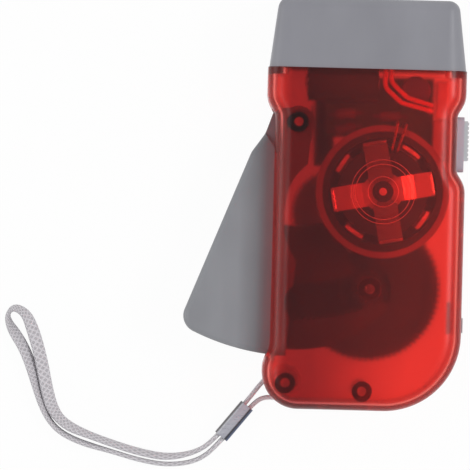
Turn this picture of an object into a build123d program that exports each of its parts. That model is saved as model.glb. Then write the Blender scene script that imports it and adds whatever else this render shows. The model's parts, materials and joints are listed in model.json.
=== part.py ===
"""Squeeze-lever dynamo torch, built as its separate pieces.

The torch lies on its back: +Z points out of the front face, +Y to the lamp head and
+X to the switch side. The origin is on the back face, at the middle of the case.
All sizes are in millimetres.
"""
import os
from math import acos, atan2, ceil, cos, degrees, pi, radians, sin, sqrt, tan

from build123d import *

# ---------------------------------------------------------------- case, seen from the front
CASE_HALF = 25.9  # half the width over the shoulders
SEAM_Y = 35.0  # line between the case and the lamp head
BASE_Y = -53.8  # bottom of the case
WAIST_DEPTH = 2.2  # how far the lever side is drawn in
WAIST_TOP = 22.6  # where the lever side reaches its waist
WAIST_END = -37.5  # where it starts to flare out again
FOOT_INSET = 0.4  # the foot is this much narrower than the shoulders
FOOT_CORNER_R = 9.4  # lower corner on the lever side
HEEL_CORNER_R = 20.0  # lower corner on the switch side
RECESS_DEPTH = 2.3  # recess for the switch
RECESS_TOP = 23.6
RECESS_END = 8.8
SWELL_R = 7.0  # plan rounding where the side swells out
DIP_R = 2.5  # plan rounding where the side dips in
SLOPE = 3.6  # length of each step between swell and dip
EDGE_R = 5.0  # rounding of the long front and back edges
WALL = 1.8
FIT = 0.03  # gap of a press fit
RUN = 0.05  # radial gap of a running fit
CLEAR = 0.3  # gap of a loose part

# ---------------------------------------------------------------- gear train
MODULE = 0.5
PRESSURE = radians(25)
ADDENDUM = 0.85  # in modules
DEDENDUM = 1.25  # in modules
BACKLASH = 0.14
RACK_TEETH = 205  # as a full ring about the lever pivot
PINION_TEETH = 16
DRIVE_TEETH = 76
IDLER_PINION_TEETH = 12
IDLER_TEETH = 44
FLY_TEETH = 10

PIVOT_INSET = 6.5  # lever pivot, in from the inside of the shoulder
PIVOT_Y = 20.9
PIVOT = (WALL + PIVOT_INSET - CASE_HALF, PIVOT_Y)
DRIVE_BEARING = radians(-65.66)  # direction from the pivot to the drive axle
FLY_BEARING = radians(83.7)  # direction from the drive axle to the flywheel
FLY_DISTANCE = 25.55

# ---------------------------------------------------------------- layers, from the back face up
GEAR_GAP = 0.6  # air between layers that turn
DRIVE_FACE = 2.6
IDLER_FACE = 3.0
LEVER_GAP = 0.9
LEVER_DEPTH = 11.5
RACK_FACE = 4.0
CUP_FLOOR = 1.2
MAGNET_HEIGHT = 8.0
PLATE = 1.0  # stator plates
FRONT_ROOM = 2.2  # from the stator's arms to the front cover

Z_DRIVE = WALL + GEAR_GAP
Z_IDLER = Z_DRIVE + DRIVE_FACE + GEAR_GAP
Z_LEVER = Z_IDLER + IDLER_FACE + LEVER_GAP
Z_CUP = Z_LEVER + 4.1
Z_MAGNET = Z_CUP + CUP_FLOOR + FIT
Z_RIM = Z_MAGNET + MAGNET_HEIGHT + 0.2
Z_STATOR_TOP = Z_RIM + PLATE
CASE_DEPTH = Z_STATOR_TOP + FRONT_ROOM + WALL
PART_Z = 14.0  # where the covers meet

# ---------------------------------------------------------------- flywheel and stator
RIM_R = 17.3
MAGNET_R = 15.7
MAGNET_BORE = 13.95
CLAW_R = 13.4  # outside of the claws
CLAW_THICK = 1.1
ARM_WIDTH = 6.3
TAB_WIDTH = 5.3
ARM_TURN = 10.8  # degrees
HUB_DISC_R = 5.3
HUB_RISE = 0.9  # the middle of the front plate stands above its arms
ARM_BEND = 8.4  # where the arms have come down
REAR_DISC_R = 8.1
SOCKET_R = 3.9  # boss in the front cover over the stator's hub
BOBBIN_R = 11.6
COIL_R = 10.8
STATOR_HUB_R = 2.7
SHAFT_R = 1.0
AXLE_R = 1.25

# ---------------------------------------------------------------- lever
SQUEEZE = 21.5  # degrees from open to closed
LEVER_WALL = 1.7
LEVER_BOSS_R = 4.2
PIVOT_POST_R = 2.6
LEVER_BOTTOM_R = 61.1
RACK_OUT_R = LEVER_BOTTOM_R - LEVER_WALL - RUN
RACK_TIP_R = 54.0
GRIP_TOP = (-CASE_HALF - 3.8, 12.8)
GRIP_KNEE = (-CASE_HALF - 0.3, 17.7)
GRIP_NECK = (1.9 - CASE_HALF, 24.0)
GRIP_LEAN = 21.6  # degrees the grip edge leans out when open
LEVER_CORNER_R = 4.5
LEVER_INNER_SIDE = radians(-91.9)  # where the lever ends inside the case
LEVER_EDGE_R = 1.5
NECK_STEP = 1.0  # the neck of the lever is this much thinner on each face
CREASE_BEARING = radians(-55.7)  # direction of the crease between neck and grip

# ---------------------------------------------------------------- lamp head
HEAD_LENGTH = 18.3
HEAD_TAPER = 7.0  # degrees
HEAD_STEP = 0.3  # the head is this much inside the case at the seam
HEAD_EDGE_R = 3.0
HEAD_WALL = 1.8
NECK_LENGTH = 3.5
LENS_THICK = 1.4
LENS_LIP = 1.6
LAMP_PITCH = 12.6
LAMP_COUNT = 3
LED_R = 2.5
LED_LENGTH = 5.3  # of the straight body
LED_SETBACK = 1.6  # the lamp's foot lies this far behind its bowl

# ---------------------------------------------------------------- screws, boards, trim
SCREW_R = 1.15
SCREW_HEAD_R = 2.1
SCREW_HEAD = 1.5
BOSS_R = 2.6
FOOT_BOSS = (WALL + 4.7 - CASE_HALF, BASE_Y + WALL + 5.0)
BASE_BOSS = (0.5, BASE_Y + WALL + 3.3)
BOARD_THICK = 1.6
Z_BOARD = 6.4
CELL_R = 5.75
CELL_LENGTH = 6.2
CELL_COUNT = 3
SWITCH_Y = 17.2
SWITCH_Z = 10.5
SWITCH_TRAVEL = 2.0  # each way
KNOB_LENGTH = 10.4
KNOB_WIDTH = 5.0
KNOB_RISE = 1.2
KNOB_RIB = 0.25  # height of its ribs
GUARD_THICK = 2.1
GUARD_LENGTH = 14.4
GUARD_WIDTH = 10.0
LOCK_Y = -31.2
LOCK_TRAVEL = 2.0
LOCK_Z = 11.0

# ---------------------------------------------------------------- strap
STRAP_WIDTH = 4.0
STRAP_THICK = 1.2
PLY_GAP = 0.8  # half the distance between the middles of two plies
FERRULE_LENGTH = 10.6
FERRULE_WALL = 0.45
FERRULE_FRONT = (-29.1, -54.0)
FERRULE_LEAN = radians(231.3)  # direction from the case end to the wrist end

RECESS_X = CASE_HALF + 0.1 - RECESS_DEPTH
WAIST_X = WAIST_DEPTH - CASE_HALF


def turned(point, angle, about):
    """A point turned about another by an angle in radians."""
    x = point[0] - about[0]
    y = point[1] - about[1]
    return (about[0] + x * cos(angle) - y * sin(angle), about[1] + x * sin(angle) + y * cos(angle))


def beyond(point, angle, distance):
    """The point a distance away in a direction given in radians."""
    return (point[0] + distance * cos(angle), point[1] + distance * sin(angle))


def bearing(start, end):
    """Direction in radians from one point to another."""
    return atan2(end[1] - start[1], end[0] - start[0])


def pitch_radius(teeth):
    """Pitch radius of a gear."""
    return MODULE * teeth / 2


DRIVE = beyond(PIVOT, DRIVE_BEARING, pitch_radius(RACK_TEETH - PINION_TEETH))
FLY = beyond(DRIVE, FLY_BEARING, FLY_DISTANCE)


def idler_centre():
    """Centre that meshes with the drive gear and the flywheel pinion, on the lever side."""
    far = pitch_radius(DRIVE_TEETH + IDLER_PINION_TEETH)
    near = pitch_radius(IDLER_TEETH + FLY_TEETH)
    along = (far ** 2 - near ** 2 + FLY_DISTANCE ** 2) / (2 * FLY_DISTANCE)
    across = sqrt(far ** 2 - along ** 2)
    foot = beyond(DRIVE, FLY_BEARING, along)
    return beyond(foot, FLY_BEARING + pi / 2, across)


IDLER = idler_centre()


def disc(centre, radius, z0, z1):
    """Upright cylinder between two heights."""
    return Pos(centre[0], centre[1], z0) * Cylinder(
        radius, z1 - z0, align=(Align.CENTER, Align.CENTER, Align.MIN)
    )


def ring(centre, outer, inner, z0, z1):
    """Upright tube between two heights."""
    return disc(centre, outer, z0, z1) - disc(centre, inner, z0 - 1, z1 + 1)


def block(x0, x1, y0, y1, z0, z1):
    """Box between two corners."""
    return Pos((x0 + x1) / 2, (y0 + y1) / 2, (z0 + z1) / 2) * Box(x1 - x0, y1 - y0, z1 - z0)


def plate(face, z0, z1):
    """A flat face raised between two heights."""
    return extrude(Pos(0, 0, z0) * face, z1 - z0, dir=(0, 0, 1))


# ---------------------------------------------------------------- teeth
def involute(angle):
    """Involute function."""
    return tan(angle) - angle


def tooth_half_angle(radius, teeth):
    """Half the angle that an outside tooth spans at a radius."""
    pitch = pitch_radius(teeth)
    base = pitch * cos(PRESSURE)
    at = acos(min(1.0, base / radius))
    return pi / (2 * teeth) + involute(PRESSURE) - involute(at) - BACKLASH / (4 * pitch)


def mesh_outside(bearing_to, teeth, phase, other):
    """Phase of a gear that meshes on a bearing with one of known teeth and phase."""
    part = (bearing_to - phase) * teeth / (2 * pi)
    return bearing_to + pi - (0.5 - part) * 2 * pi / other


def mesh_inside(bearing_to, teeth, phase, other):
    """Phase of a pinion inside a ring of teeth, on a bearing from the ring's centre."""
    part = (bearing_to - phase) * teeth / (2 * pi)
    return bearing_to - (part + 0.5) * 2 * pi / other


def gear_face(centre, teeth, phase):
    """Flat outline of an outside gear, with straight-cut involute flanks."""
    pitch = pitch_radius(teeth)
    root = pitch - DEDENDUM * MODULE
    tip = pitch + ADDENDUM * MODULE
    start = max(root + 0.05, pitch * cos(PRESSURE))
    levels = [start, pitch, tip] if teeth < 40 else [start, tip]
    points = []
    for tooth in range(teeth):
        middle = phase + tooth * 2 * pi / teeth
        rise = [(r, -tooth_half_angle(r, teeth)) for r in levels]
        rise = [(root, rise[0][1])] + rise
        flank = rise + [(r, -a) for r, a in reversed(rise)]
        points += [beyond(centre, middle + a, r) for r, a in flank]
    return make_face(Polyline(*points, close=True))


RACK_PHASE = DRIVE_BEARING
PINION_PHASE = mesh_inside(DRIVE_BEARING, RACK_TEETH, RACK_PHASE, PINION_TEETH)
IDLER_PHASE = mesh_outside(bearing(DRIVE, IDLER), DRIVE_TEETH, 0.0, IDLER_PINION_TEETH)
IDLER_GEAR_PHASE = 0.0
FLY_PHASE = mesh_outside(bearing(IDLER, FLY), IDLER_TEETH, IDLER_GEAR_PHASE, FLY_TEETH)


# ---------------------------------------------------------------- covers
def case_face(inset=0.0):
    """Outline of the case, drawn in evenly by an inset."""
    left = -CASE_HALF
    right = CASE_HALF + 0.1
    foot = left + FOOT_INSET
    corners = [
        ((left, SEAM_Y), 0),
        ((left, WAIST_TOP + SLOPE + 0.4), SWELL_R),
        ((WAIST_X, WAIST_TOP), DIP_R),
        ((WAIST_X, WAIST_END), SWELL_R),
        ((foot, WAIST_END - 5.0), SWELL_R),
        ((foot, BASE_Y), FOOT_CORNER_R),
        ((right, BASE_Y), HEEL_CORNER_R),
        ((right, RECESS_END - SLOPE), SWELL_R),
        ((RECESS_X, RECESS_END), DIP_R),
        ((RECESS_X, RECESS_TOP), DIP_R),
        ((right - 0.2, RECESS_TOP + SLOPE), SWELL_R),
        ((right - 0.2, SEAM_Y), 0),
    ]
    points = [corner[0] for corner in corners]
    radii = [corner[1] for corner in corners]
    face = make_face(FilletPolyline(*points, radius=radii, close=True))
    if inset:
        face = offset(face, -inset)
    return face


def long_edges(solid, z):
    """Edges of the front or back face, without the straight one at the seam."""
    edges = solid.edges().filter_by(lambda e: abs(e.center().Z - z) < 0.001)
    return edges.filter_by(lambda e: abs(e.center().Y - solid.bounding_box().max.Y) > 0.01)


def rounded_slab(face, z0, z1, radius):
    """A face raised between two heights, with its front and back edges rounded."""
    solid = plate(face, z0, z1)
    return fillet(long_edges(solid, z0) + long_edges(solid, z1), radius)


def oblong(width, height, y, length, radius, taper=0.0):
    """Rounded block along Y from y, centred on the case in X and Z."""
    sketch = Plane.XZ.offset(-y) * Pos(0, CASE_DEPTH / 2) * RectangleRounded(width, height, radius)
    return extrude(sketch, length, dir=(0, 1, 0), taper=taper)


HEAD_WIDTH = 2 * (CASE_HALF - HEAD_STEP)
HEAD_DEPTH = CASE_DEPTH - 2 * HEAD_STEP
HEAD_SHRINK = tan(radians(HEAD_TAPER))


def head_width(y):
    """Outside width of the head at a height."""
    return HEAD_WIDTH - 2 * (y - SEAM_Y) * HEAD_SHRINK


def head_depth(y):
    """Outside depth of the head at a height."""
    return HEAD_DEPTH - 2 * (y - SEAM_Y) * HEAD_SHRINK


NECK_TOP = SEAM_Y + NECK_LENGTH
NECK_SIDE = 2 * (HEAD_WALL + 0.15)
NECK_WIDTH = head_width(NECK_TOP) - NECK_SIDE
NECK_DEPTH = head_depth(NECK_TOP) - NECK_SIDE
NECK_WALL = 1.4


def case_shell():
    """Both covers as one hollow case with its neck, before they are parted."""
    outer = rounded_slab(case_face(), 0, CASE_DEPTH, EDGE_R)
    inner = rounded_slab(case_face(WALL), WALL, CASE_DEPTH - WALL, EDGE_R - WALL)
    neck = oblong(NECK_WIDTH, NECK_DEPTH, SEAM_Y - WALL, WALL + NECK_LENGTH, EDGE_R - 1)
    bore_width = NECK_WIDTH - 2 * NECK_WALL
    bore_depth = NECK_DEPTH - 2 * NECK_WALL
    throat = oblong(bore_width, bore_depth, SEAM_Y - 4, NECK_LENGTH + 5, EDGE_R - 2)
    return outer + neck - inner - throat


def lever_slot():
    """Opening in the side through which the lever swings."""
    low = PIVOT[1] - sqrt((LEVER_BOTTOM_R + 1.0) ** 2 - (WAIST_X - PIVOT[0]) ** 2)
    z0 = Z_LEVER - 2 * CLEAR
    z1 = z0 + LEVER_DEPTH + 4 * CLEAR
    return block(-CASE_HALF - 2, WAIST_X + WALL + 0.5, low, GRIP_NECK[1] + CLEAR, z0, z1)


def switch_hole():
    """Hole in the side for the stem of the switch."""
    reach = 1.6 + SWITCH_TRAVEL
    return block(
        RECESS_X - WALL - 1, RECESS_X + 1,
        SWITCH_Y - reach, SWITCH_Y + reach, SWITCH_Z - 1.5, SWITCH_Z + 1.5,
    )


def lock_hole():
    """Hole in the side for the neck of the lever lock."""
    return block(
        CASE_HALF - WALL - 1, CASE_HALF + 1,
        LOCK_Y - 1.1, LOCK_Y + LOCK_TRAVEL + 1.1, LOCK_Z - 1.1, LOCK_Z + 1.1,
    )


STRAP_RISE = WALL + 2 * CLEAR + STRAP_WIDTH / 2  # middle of the strap inside the case
STRAP_AIM = bearing(FOOT_BOSS, FERRULE_FRONT)
WINDOW_WIDTH = 2 * (BOSS_R + STRAP_THICK) + 1.2


def strap_window():
    """Window in the lower corner through which the strap leaves, beside the post."""
    height = STRAP_WIDTH + 4 * CLEAR
    window = Box(14, WINDOW_WIDTH, height, align=(Align.MIN, Align.CENTER, Align.CENTER))
    window = Pos(*FOOT_BOSS, STRAP_RISE - CLEAR) * Rot(0, 0, degrees(STRAP_AIM)) * window
    return window - disc(FOOT_BOSS, BOSS_R, 0, PART_Z)


PEG_R = 0.55
PEG_RISE = 1.2


def peg_places():
    """Places in the wall where the covers are pegged to each other."""
    side = CASE_HALF + 0.1 - WALL / 2
    base = BASE_Y + WALL / 2
    return [(side, 1.7), (side, -7.5), (side, -25.6), (-10.3, base), (3.0, base)]


def fixing_places():
    """Screw places: the lever pivot, the lower corner and the base."""
    return [PIVOT, FOOT_BOSS, BASE_BOSS]


def back_cover():
    """Back half of the case with its posts, bosses and screw holes."""
    cover = case_shell() & block(-60, 60, -70, 60, -1, PART_Z)
    floor = WALL - 0.2
    post = disc(PIVOT, PIVOT_POST_R, floor, PART_Z) + disc(PIVOT, PIVOT_POST_R + 0.4, floor, Z_LEVER - CLEAR)
    bosses = [disc(place, BOSS_R, floor, PART_Z) for place in (FOOT_BOSS, BASE_BOSS)]
    bosses.append(disc(DRIVE, BOSS_R, floor, Z_DRIVE - RUN))
    bosses.append(disc(IDLER, SHAFT_R + 1.2, floor, Z_DRIVE - RUN))
    bosses.append(disc(FLY, SHAFT_R + 1.2, floor, Z_IDLER - RUN))
    bosses += [disc(place, 2.0, floor, Z_BOARD) for place in board_posts()]
    cover = cover + post + bosses
    cover += [disc(place, PEG_R, PART_Z - 1, PART_Z + PEG_RISE) for place in peg_places()]
    for place in fixing_places():
        cover -= disc(place, SCREW_R + RUN, -1, PART_Z + 1)
        cover -= disc(place, SCREW_HEAD_R + 0.15, -1, SCREW_HEAD + 0.3)
    cover -= disc(DRIVE, AXLE_R + FIT, WALL / 2, Z_DRIVE + 1)
    cover -= disc(IDLER, SHAFT_R + FIT, WALL / 2, Z_DRIVE + 1)
    cover -= disc(FLY, SHAFT_R + FIT, WALL / 2, Z_IDLER + 1)
    return cover - lever_slot() - switch_hole() - lock_hole() - strap_window()


def front_cover():
    """Front half of the case with its posts, bosses and the stator's ring."""
    cover = case_shell() & block(-60, 60, -70, 60, PART_Z, CASE_DEPTH + 1)
    roof = CASE_DEPTH - WALL + 0.2
    shoulder = Z_LEVER + LEVER_DEPTH + CLEAR
    cover += disc(PIVOT, PIVOT_POST_R, PART_Z, roof) + disc(PIVOT, PIVOT_POST_R + 0.6, shoulder, roof)
    cover += [disc(place, BOSS_R, PART_Z, roof) for place in (FOOT_BOSS, BASE_BOSS)]
    cover += disc(DRIVE, AXLE_R + 1.85, Z_RACK + RACK_FACE + 0.4, roof)
    cover += ring(FLY, SOCKET_R, STATOR_HUB_R + FIT, Z_STATOR_TOP + HUB_RISE + RUN, roof)
    cover += [ring(FLY, radius, radius - 0.25, roof - 0.5, roof) for radius in (7.3, 8.2)]
    for place in fixing_places():
        cover -= disc(place, SCREW_R + RUN, PART_Z - 1, CASE_DEPTH - WALL - 1)
    for place in peg_places():
        cover -= disc(place, PEG_R + RUN, PART_Z - 1, PART_Z + PEG_RISE + 0.2)
    cover -= disc(DRIVE, AXLE_R + FIT, PART_Z, CASE_DEPTH - WALL / 2)
    return cover - lever_slot()


def case_screws():
    """The three screws that hold the covers together, from the back."""
    screws = []
    for place in fixing_places():
        head = disc(place, SCREW_HEAD_R, 0.3, SCREW_HEAD + 0.3)
        slot = block(-1.6, 1.6, -0.25, 0.25, 0, 0.9) + block(-0.25, 0.25, -1.6, 1.6, 0, 0.9)
        shank = disc(place, SCREW_R, SCREW_HEAD + 0.3, CASE_DEPTH - WALL - 1.5)
        screws.append(head - Pos(place[0], place[1], 0) * slot + shank)
    return screws


# ---------------------------------------------------------------- lamp head
def head_bezel():
    """Tapered cap over the neck, open at the lamp end."""
    top = SEAM_Y + HEAD_LENGTH
    shell = oblong(HEAD_WIDTH, HEAD_DEPTH, SEAM_Y, HEAD_LENGTH, EDGE_R, HEAD_TAPER)
    rim = shell.edges().filter_by(lambda e: abs(e.center().Y - top) < 0.001)
    shell = fillet(rim, HEAD_EDGE_R)
    depth = HEAD_LENGTH - LENS_LIP
    inside = 2 * HEAD_WALL
    hollow = oblong(HEAD_WIDTH - inside, HEAD_DEPTH - inside, SEAM_Y, depth, EDGE_R - 1, HEAD_TAPER)
    window = oblong(head_width(top) - 7.0, head_depth(top) - 6.0, top - 4, 6, 3.0)
    return shell - hollow - window


def lens_y():
    """Where the lens begins, behind the lip of the head."""
    return SEAM_Y + HEAD_LENGTH - LENS_LIP - LENS_THICK


def inside_size(y):
    """Room inside the head at a height, less a little air."""
    side = 2 * (HEAD_WALL + 0.2)
    return head_width(y) - side, head_depth(y) - side


def head_lens():
    """Clear window behind the lip."""
    width, depth = inside_size(lens_y() + LENS_THICK)
    return oblong(width, depth, lens_y(), LENS_THICK - RUN, 3.0)


def lamp_places():
    """Middle of each lamp across the head."""
    return [(n - (LAMP_COUNT - 1) / 2) * LAMP_PITCH for n in range(LAMP_COUNT)]


BOWL_R = 6.0
BOWL_DEPTH = 6.5
BOWL_WALL = 0.8


def bowl(radius, y0, y1):
    """Solid of revolution with a rounded flank, opening towards +Y."""
    small = LED_R + radius - BOWL_R + 0.2
    profile = make_face(
        [
            Line((0, y0), (small, y0)),
            ThreePointArc((small, y0), (radius * 0.82, y0 + 0.45 * (y1 - y0)), (radius, y1)),
            Line((radius, y1), (0, y1)),
            Line((0, y1), (0, y0)),
        ]
    )
    return Pos(0, 0, CASE_DEPTH / 2) * revolve(profile, Axis.Y)


def reflector():
    """Bright moulding with one bowl for each lamp."""
    front = lens_y() - RUN
    width, depth = inside_size(front)
    body = oblong(width, depth, front - 1.2, 1.2, 3.0)
    for x in lamp_places():
        body += Pos(x, 0, 0) * bowl(BOWL_R + BOWL_WALL, front - BOWL_DEPTH, front - 0.6)
    for x in lamp_places():
        body -= Pos(x, 0, 0) * bowl(BOWL_R, front - BOWL_DEPTH - 0.1, front + 0.1)
    return body


LED_BOARD_Y = NECK_TOP + 0.5


def led_lamps():
    """Three domed lamps with their leads."""
    base = lens_y() - BOWL_DEPTH - LED_SETBACK
    lamps = []
    for x in lamp_places():
        at = Pos(x, base, CASE_DEPTH / 2) * Rot(-90, 0, 0)
        body = Cylinder(LED_R, LED_LENGTH, align=(Align.CENTER, Align.CENTER, Align.MIN))
        body += Pos(0, 0, LED_LENGTH) * Sphere(LED_R)
        body += Cylinder(LED_R + 0.4, 1.0, align=(Align.CENTER, Align.CENTER, Align.MIN))
        reach = base - LED_BOARD_Y - BOARD_THICK
        for side in (-1.27, 1.27):
            lead = Box(0.5, 0.5, reach, align=(Align.CENTER, Align.CENTER, Align.MAX))
            body += Pos(side, 0, 0) * lead
        lamps.append(at * body)
    return lamps


def led_board():
    """Board that carries the lamps, across the neck."""
    width, depth = inside_size(LED_BOARD_Y + BOARD_THICK)
    return oblong(width, depth, LED_BOARD_Y, BOARD_THICK - RUN, EDGE_R - 1.2)


# ---------------------------------------------------------------- lever
def lever_face(inset=0.0, mouth=0.0):
    """Outline of the open lever, drawn in by an inset, its inner side moved out by a mouth."""
    lean = radians(-90 - GRIP_LEAN)
    reach = LEVER_BOTTOM_R - inset
    out = (cos(lean - pi / 2) * -inset, sin(lean - pi / 2) * -inset)
    knee = (GRIP_KNEE[0] + inset, GRIP_KNEE[1] - inset * 0.2)
    top = (GRIP_TOP[0] + out[0], GRIP_TOP[1] + out[1])
    from_pivot = (top[0] - PIVOT[0], top[1] - PIVOT[1])
    half = from_pivot[0] * cos(lean) + from_pivot[1] * sin(lean)
    run = sqrt(half ** 2 + reach ** 2 - from_pivot[0] ** 2 - from_pivot[1] ** 2) - half
    corner = beyond(top, lean, run)
    inner_side = LEVER_INNER_SIDE + mouth / reach
    end = beyond(PIVOT, inner_side, reach)
    middle = beyond(PIVOT, (bearing(PIVOT, corner) + inner_side) / 2, reach)
    root = beyond(PIVOT, radians(-35), LEVER_BOSS_R + mouth)
    neck = (GRIP_NECK[0] + inset, GRIP_NECK[1] - inset)
    crown = beyond(PIVOT, radians(80), LEVER_BOSS_R - inset * 0.5)
    face = make_face(
        [
            Polyline(root, crown, neck, knee, top, corner),
            ThreePointArc(corner, middle, end),
            Line(end, root),
        ]
    )
    sharp = face.vertices().sort_by_distance(corner)[0]
    face = fillet(sharp, LEVER_CORNER_R - inset)
    bends = [face.vertices().sort_by_distance(point)[0] for point in (knee, top)]
    return fillet(bends, 6.0)


def lever_clearance(z0, z1):
    """Room that the closed lever leaves for the flywheel and the drive axle."""
    back = -radians(SQUEEZE)
    wheel = disc(turned(FLY, back, PIVOT), RIM_R + 0.7, z0, z1)
    return wheel + disc(turned(DRIVE, back, PIVOT), PINION_TIP + 0.7, z0, z1)


PINION_TIP = pitch_radius(PINION_TEETH) + ADDENDUM * MODULE
Z_RACK = Z_LEVER + LEVER_WALL + 0.02


def lever_neck(z0, z1):
    """Block over the neck of the lever, above its crease, cut off each face."""
    high = beyond(GRIP_KNEE, CREASE_BEARING, -2.0)
    low = beyond(GRIP_KNEE, CREASE_BEARING, 6.0)
    side = WAIST_X + WALL
    above = GRIP_NECK[1] + 4
    outline = Polyline(high, low, (side, low[1]), (side, above), (high[0], above), close=True)
    return plate(make_face(outline), z0, z1)


def squeeze_lever():
    """Hollow grip that is open towards the case, with its pivot boss."""
    top = Z_LEVER + LEVER_DEPTH
    body = plate(lever_face(), Z_LEVER, top)
    rims = body.edges().filter_by(
        lambda e: min(abs(e.center().Z - Z_LEVER), abs(e.center().Z - top)) < 0.001
        and e.center().X < WAIST_X
    )
    body = fillet(rims, LEVER_EDGE_R)
    body -= lever_neck(Z_LEVER - 1, Z_LEVER + NECK_STEP) + lever_neck(top - NECK_STEP, top + 1)
    body -= plate(lever_face(LEVER_WALL, 4.0), Z_LEVER + LEVER_WALL, top - LEVER_WALL)
    body += disc(PIVOT, LEVER_BOSS_R, Z_LEVER, top)
    body -= lever_clearance(Z_LEVER - 1, top + 1)
    return body - disc(PIVOT, PIVOT_POST_R + RUN, Z_LEVER - 1, top + 1)


RACK_FIRST = DRIVE_BEARING - radians(SQUEEZE) - radians(2.6)
RACK_LAST = DRIVE_BEARING + radians(2.2)
RACK_ROOT = radians(-101.0)  # where the rack's foot ends inside the grip


def rack_face():
    """Toothed sector about the lever pivot, with its teeth turned to the pivot."""
    pitch = pitch_radius(RACK_TEETH)
    valley = pitch + DEDENDUM * MODULE
    crest = pitch - 0.8 * MODULE
    step = 2 * pi / RACK_TEETH
    first = ceil((RACK_FIRST - RACK_PHASE) / step)
    last = int((RACK_LAST - RACK_PHASE) / step)
    points = []
    for tooth in range(first, last + 1):
        middle = RACK_PHASE + tooth * step
        wide = step / 2 - tooth_half_angle(valley, RACK_TEETH) - BACKLASH / (2 * pitch)
        narrow = step / 2 - tooth_half_angle(crest, RACK_TEETH) - BACKLASH / (2 * pitch)
        flank = [(valley, -wide), (crest, -narrow), (crest, narrow), (valley, wide)]
        points += [beyond(PIVOT, middle + a, r) for r, a in flank]
    inner = beyond(PIVOT, RACK_ROOT, valley)
    outer = beyond(PIVOT, RACK_ROOT, RACK_OUT_R)
    tip = beyond(PIVOT, RACK_LAST + radians(0.4), RACK_TIP_R)
    heel_out = beyond(PIVOT, LEVER_INNER_SIDE, RACK_OUT_R)
    root_bow = beyond(PIVOT, (RACK_ROOT + LEVER_INNER_SIDE) / 2, RACK_OUT_R)
    bow = beyond(PIVOT, (LEVER_INNER_SIDE + RACK_LAST) / 2, RACK_OUT_R - 0.9)
    heel = beyond(PIVOT, RACK_LAST + radians(0.4), valley)
    return make_face(
        [
            Polyline(outer, inner, *points, heel, tip),
            ThreePointArc(tip, bow, heel_out),
            ThreePointArc(heel_out, root_bow, outer),
        ]
    )


WEB_THICK = 1.0
WEB_IN_R = 27.0
WEB_OUT_R = pitch_radius(RACK_TEETH - PINION_TEETH) - PINION_TIP - 0.6
WEB_END = DRIVE_BEARING - radians(2.3)
SLOT_END = RACK_FIRST - (PINION_TIP + 0.6 - 3.0) / WEB_OUT_R  # clear of the pinion when closed


def sector(inner, outer, start, end):
    """Flat part of a ring about the lever pivot, between two directions."""
    middle = (start + end) / 2
    return make_face(
        [
            ThreePointArc(*[beyond(PIVOT, a, inner) for a in (start, middle, end)]),
            Line(beyond(PIVOT, end, inner), beyond(PIVOT, end, outer)),
            ThreePointArc(*[beyond(PIVOT, a, outer) for a in (end, middle, start)]),
            Line(beyond(PIVOT, start, outer), beyond(PIVOT, start, inner)),
        ]
    )


def lever_rack():
    """Sector rack that lies on the lever's back wall, with its web under the flywheel."""
    web = plate(sector(WEB_IN_R, WEB_OUT_R, RACK_ROOT, WEB_END), Z_RACK, Z_RACK + WEB_THICK)
    arm = plate(sector(WEB_OUT_R - 1, RACK_TIP_R, RACK_ROOT, SLOT_END), Z_RACK, Z_RACK + WEB_THICK)
    return plate(rack_face(), Z_RACK, Z_RACK + RACK_FACE) + web + arm


# ---------------------------------------------------------------- gear train
RATCHET_R = 6.8
RATCHET_WALL = 1.2
RATCHET_TEETH = 12
RATCHET_HEIGHT = 3.0


def ratchet_bore(z0, z1):
    """Saw-toothed hole inside the ratchet ring."""
    points = []
    step = 2 * pi / RATCHET_TEETH
    for tooth in range(RATCHET_TEETH):
        points.append(beyond(DRIVE, tooth * step, RATCHET_R - 0.8))
        points.append(beyond(DRIVE, tooth * step + 0.02, RATCHET_R))
    return plate(make_face(Polyline(*points, close=True)), z0, z1)


def drive_gear():
    """Large gear with a recessed web, six holes and the ratchet ring."""
    top = Z_DRIVE + DRIVE_FACE
    gear = plate(gear_face(DRIVE, DRIVE_TEETH, 0.0), Z_DRIVE, top)
    rim = pitch_radius(DRIVE_TEETH) - 2.6
    ring_r = RATCHET_R + RATCHET_WALL
    gear -= ring(DRIVE, rim, ring_r + 1.0, top - 0.9, top + 1)
    gear += disc(DRIVE, ring_r, top, top + RATCHET_HEIGHT)
    gear -= ratchet_bore(top, top + RATCHET_HEIGHT + 1)
    return gear - disc(DRIVE, AXLE_R + RUN, Z_DRIVE - 1, top + 1)


PAWL_R = RATCHET_R - 1.0
PAWL_WIDTH = 0.9


def pawl_arm(turn, z0, z1):
    """Springy curved arm whose end lies just inside the ratchet teeth."""
    start = beyond(DRIVE, turn, 2.3)
    bend = beyond(DRIVE, turn + radians(50), 4.2)
    tip = beyond(DRIVE, turn + radians(95), PAWL_R - 0.6)
    arm = trace(ThreePointArc(start, bend, tip), PAWL_WIDTH)
    return plate(arm, z0, z1)


def ratchet_pinion():
    """Pinion under the rack, with the arms that drive the ratchet ring."""
    low = Z_DRIVE + DRIVE_FACE + 0.2
    arms_top = low + RATCHET_HEIGHT - 0.4
    body = disc(DRIVE, AXLE_R + 1.4, low, Z_RACK - 0.3)
    for turn in (0.0, pi):
        body += pawl_arm(turn, low, arms_top)
    body += plate(gear_face(DRIVE, PINION_TEETH, PINION_PHASE), Z_RACK - 0.3, Z_RACK + RACK_FACE + 0.1)
    return body - disc(DRIVE, AXLE_R + RUN, low - 1, Z_RACK + RACK_FACE + 1)


def drive_axle():
    """Steel pin held by both covers."""
    return disc(DRIVE, AXLE_R, WALL / 2 + 0.1, CASE_DEPTH - WALL / 2 - 0.1)


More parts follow.
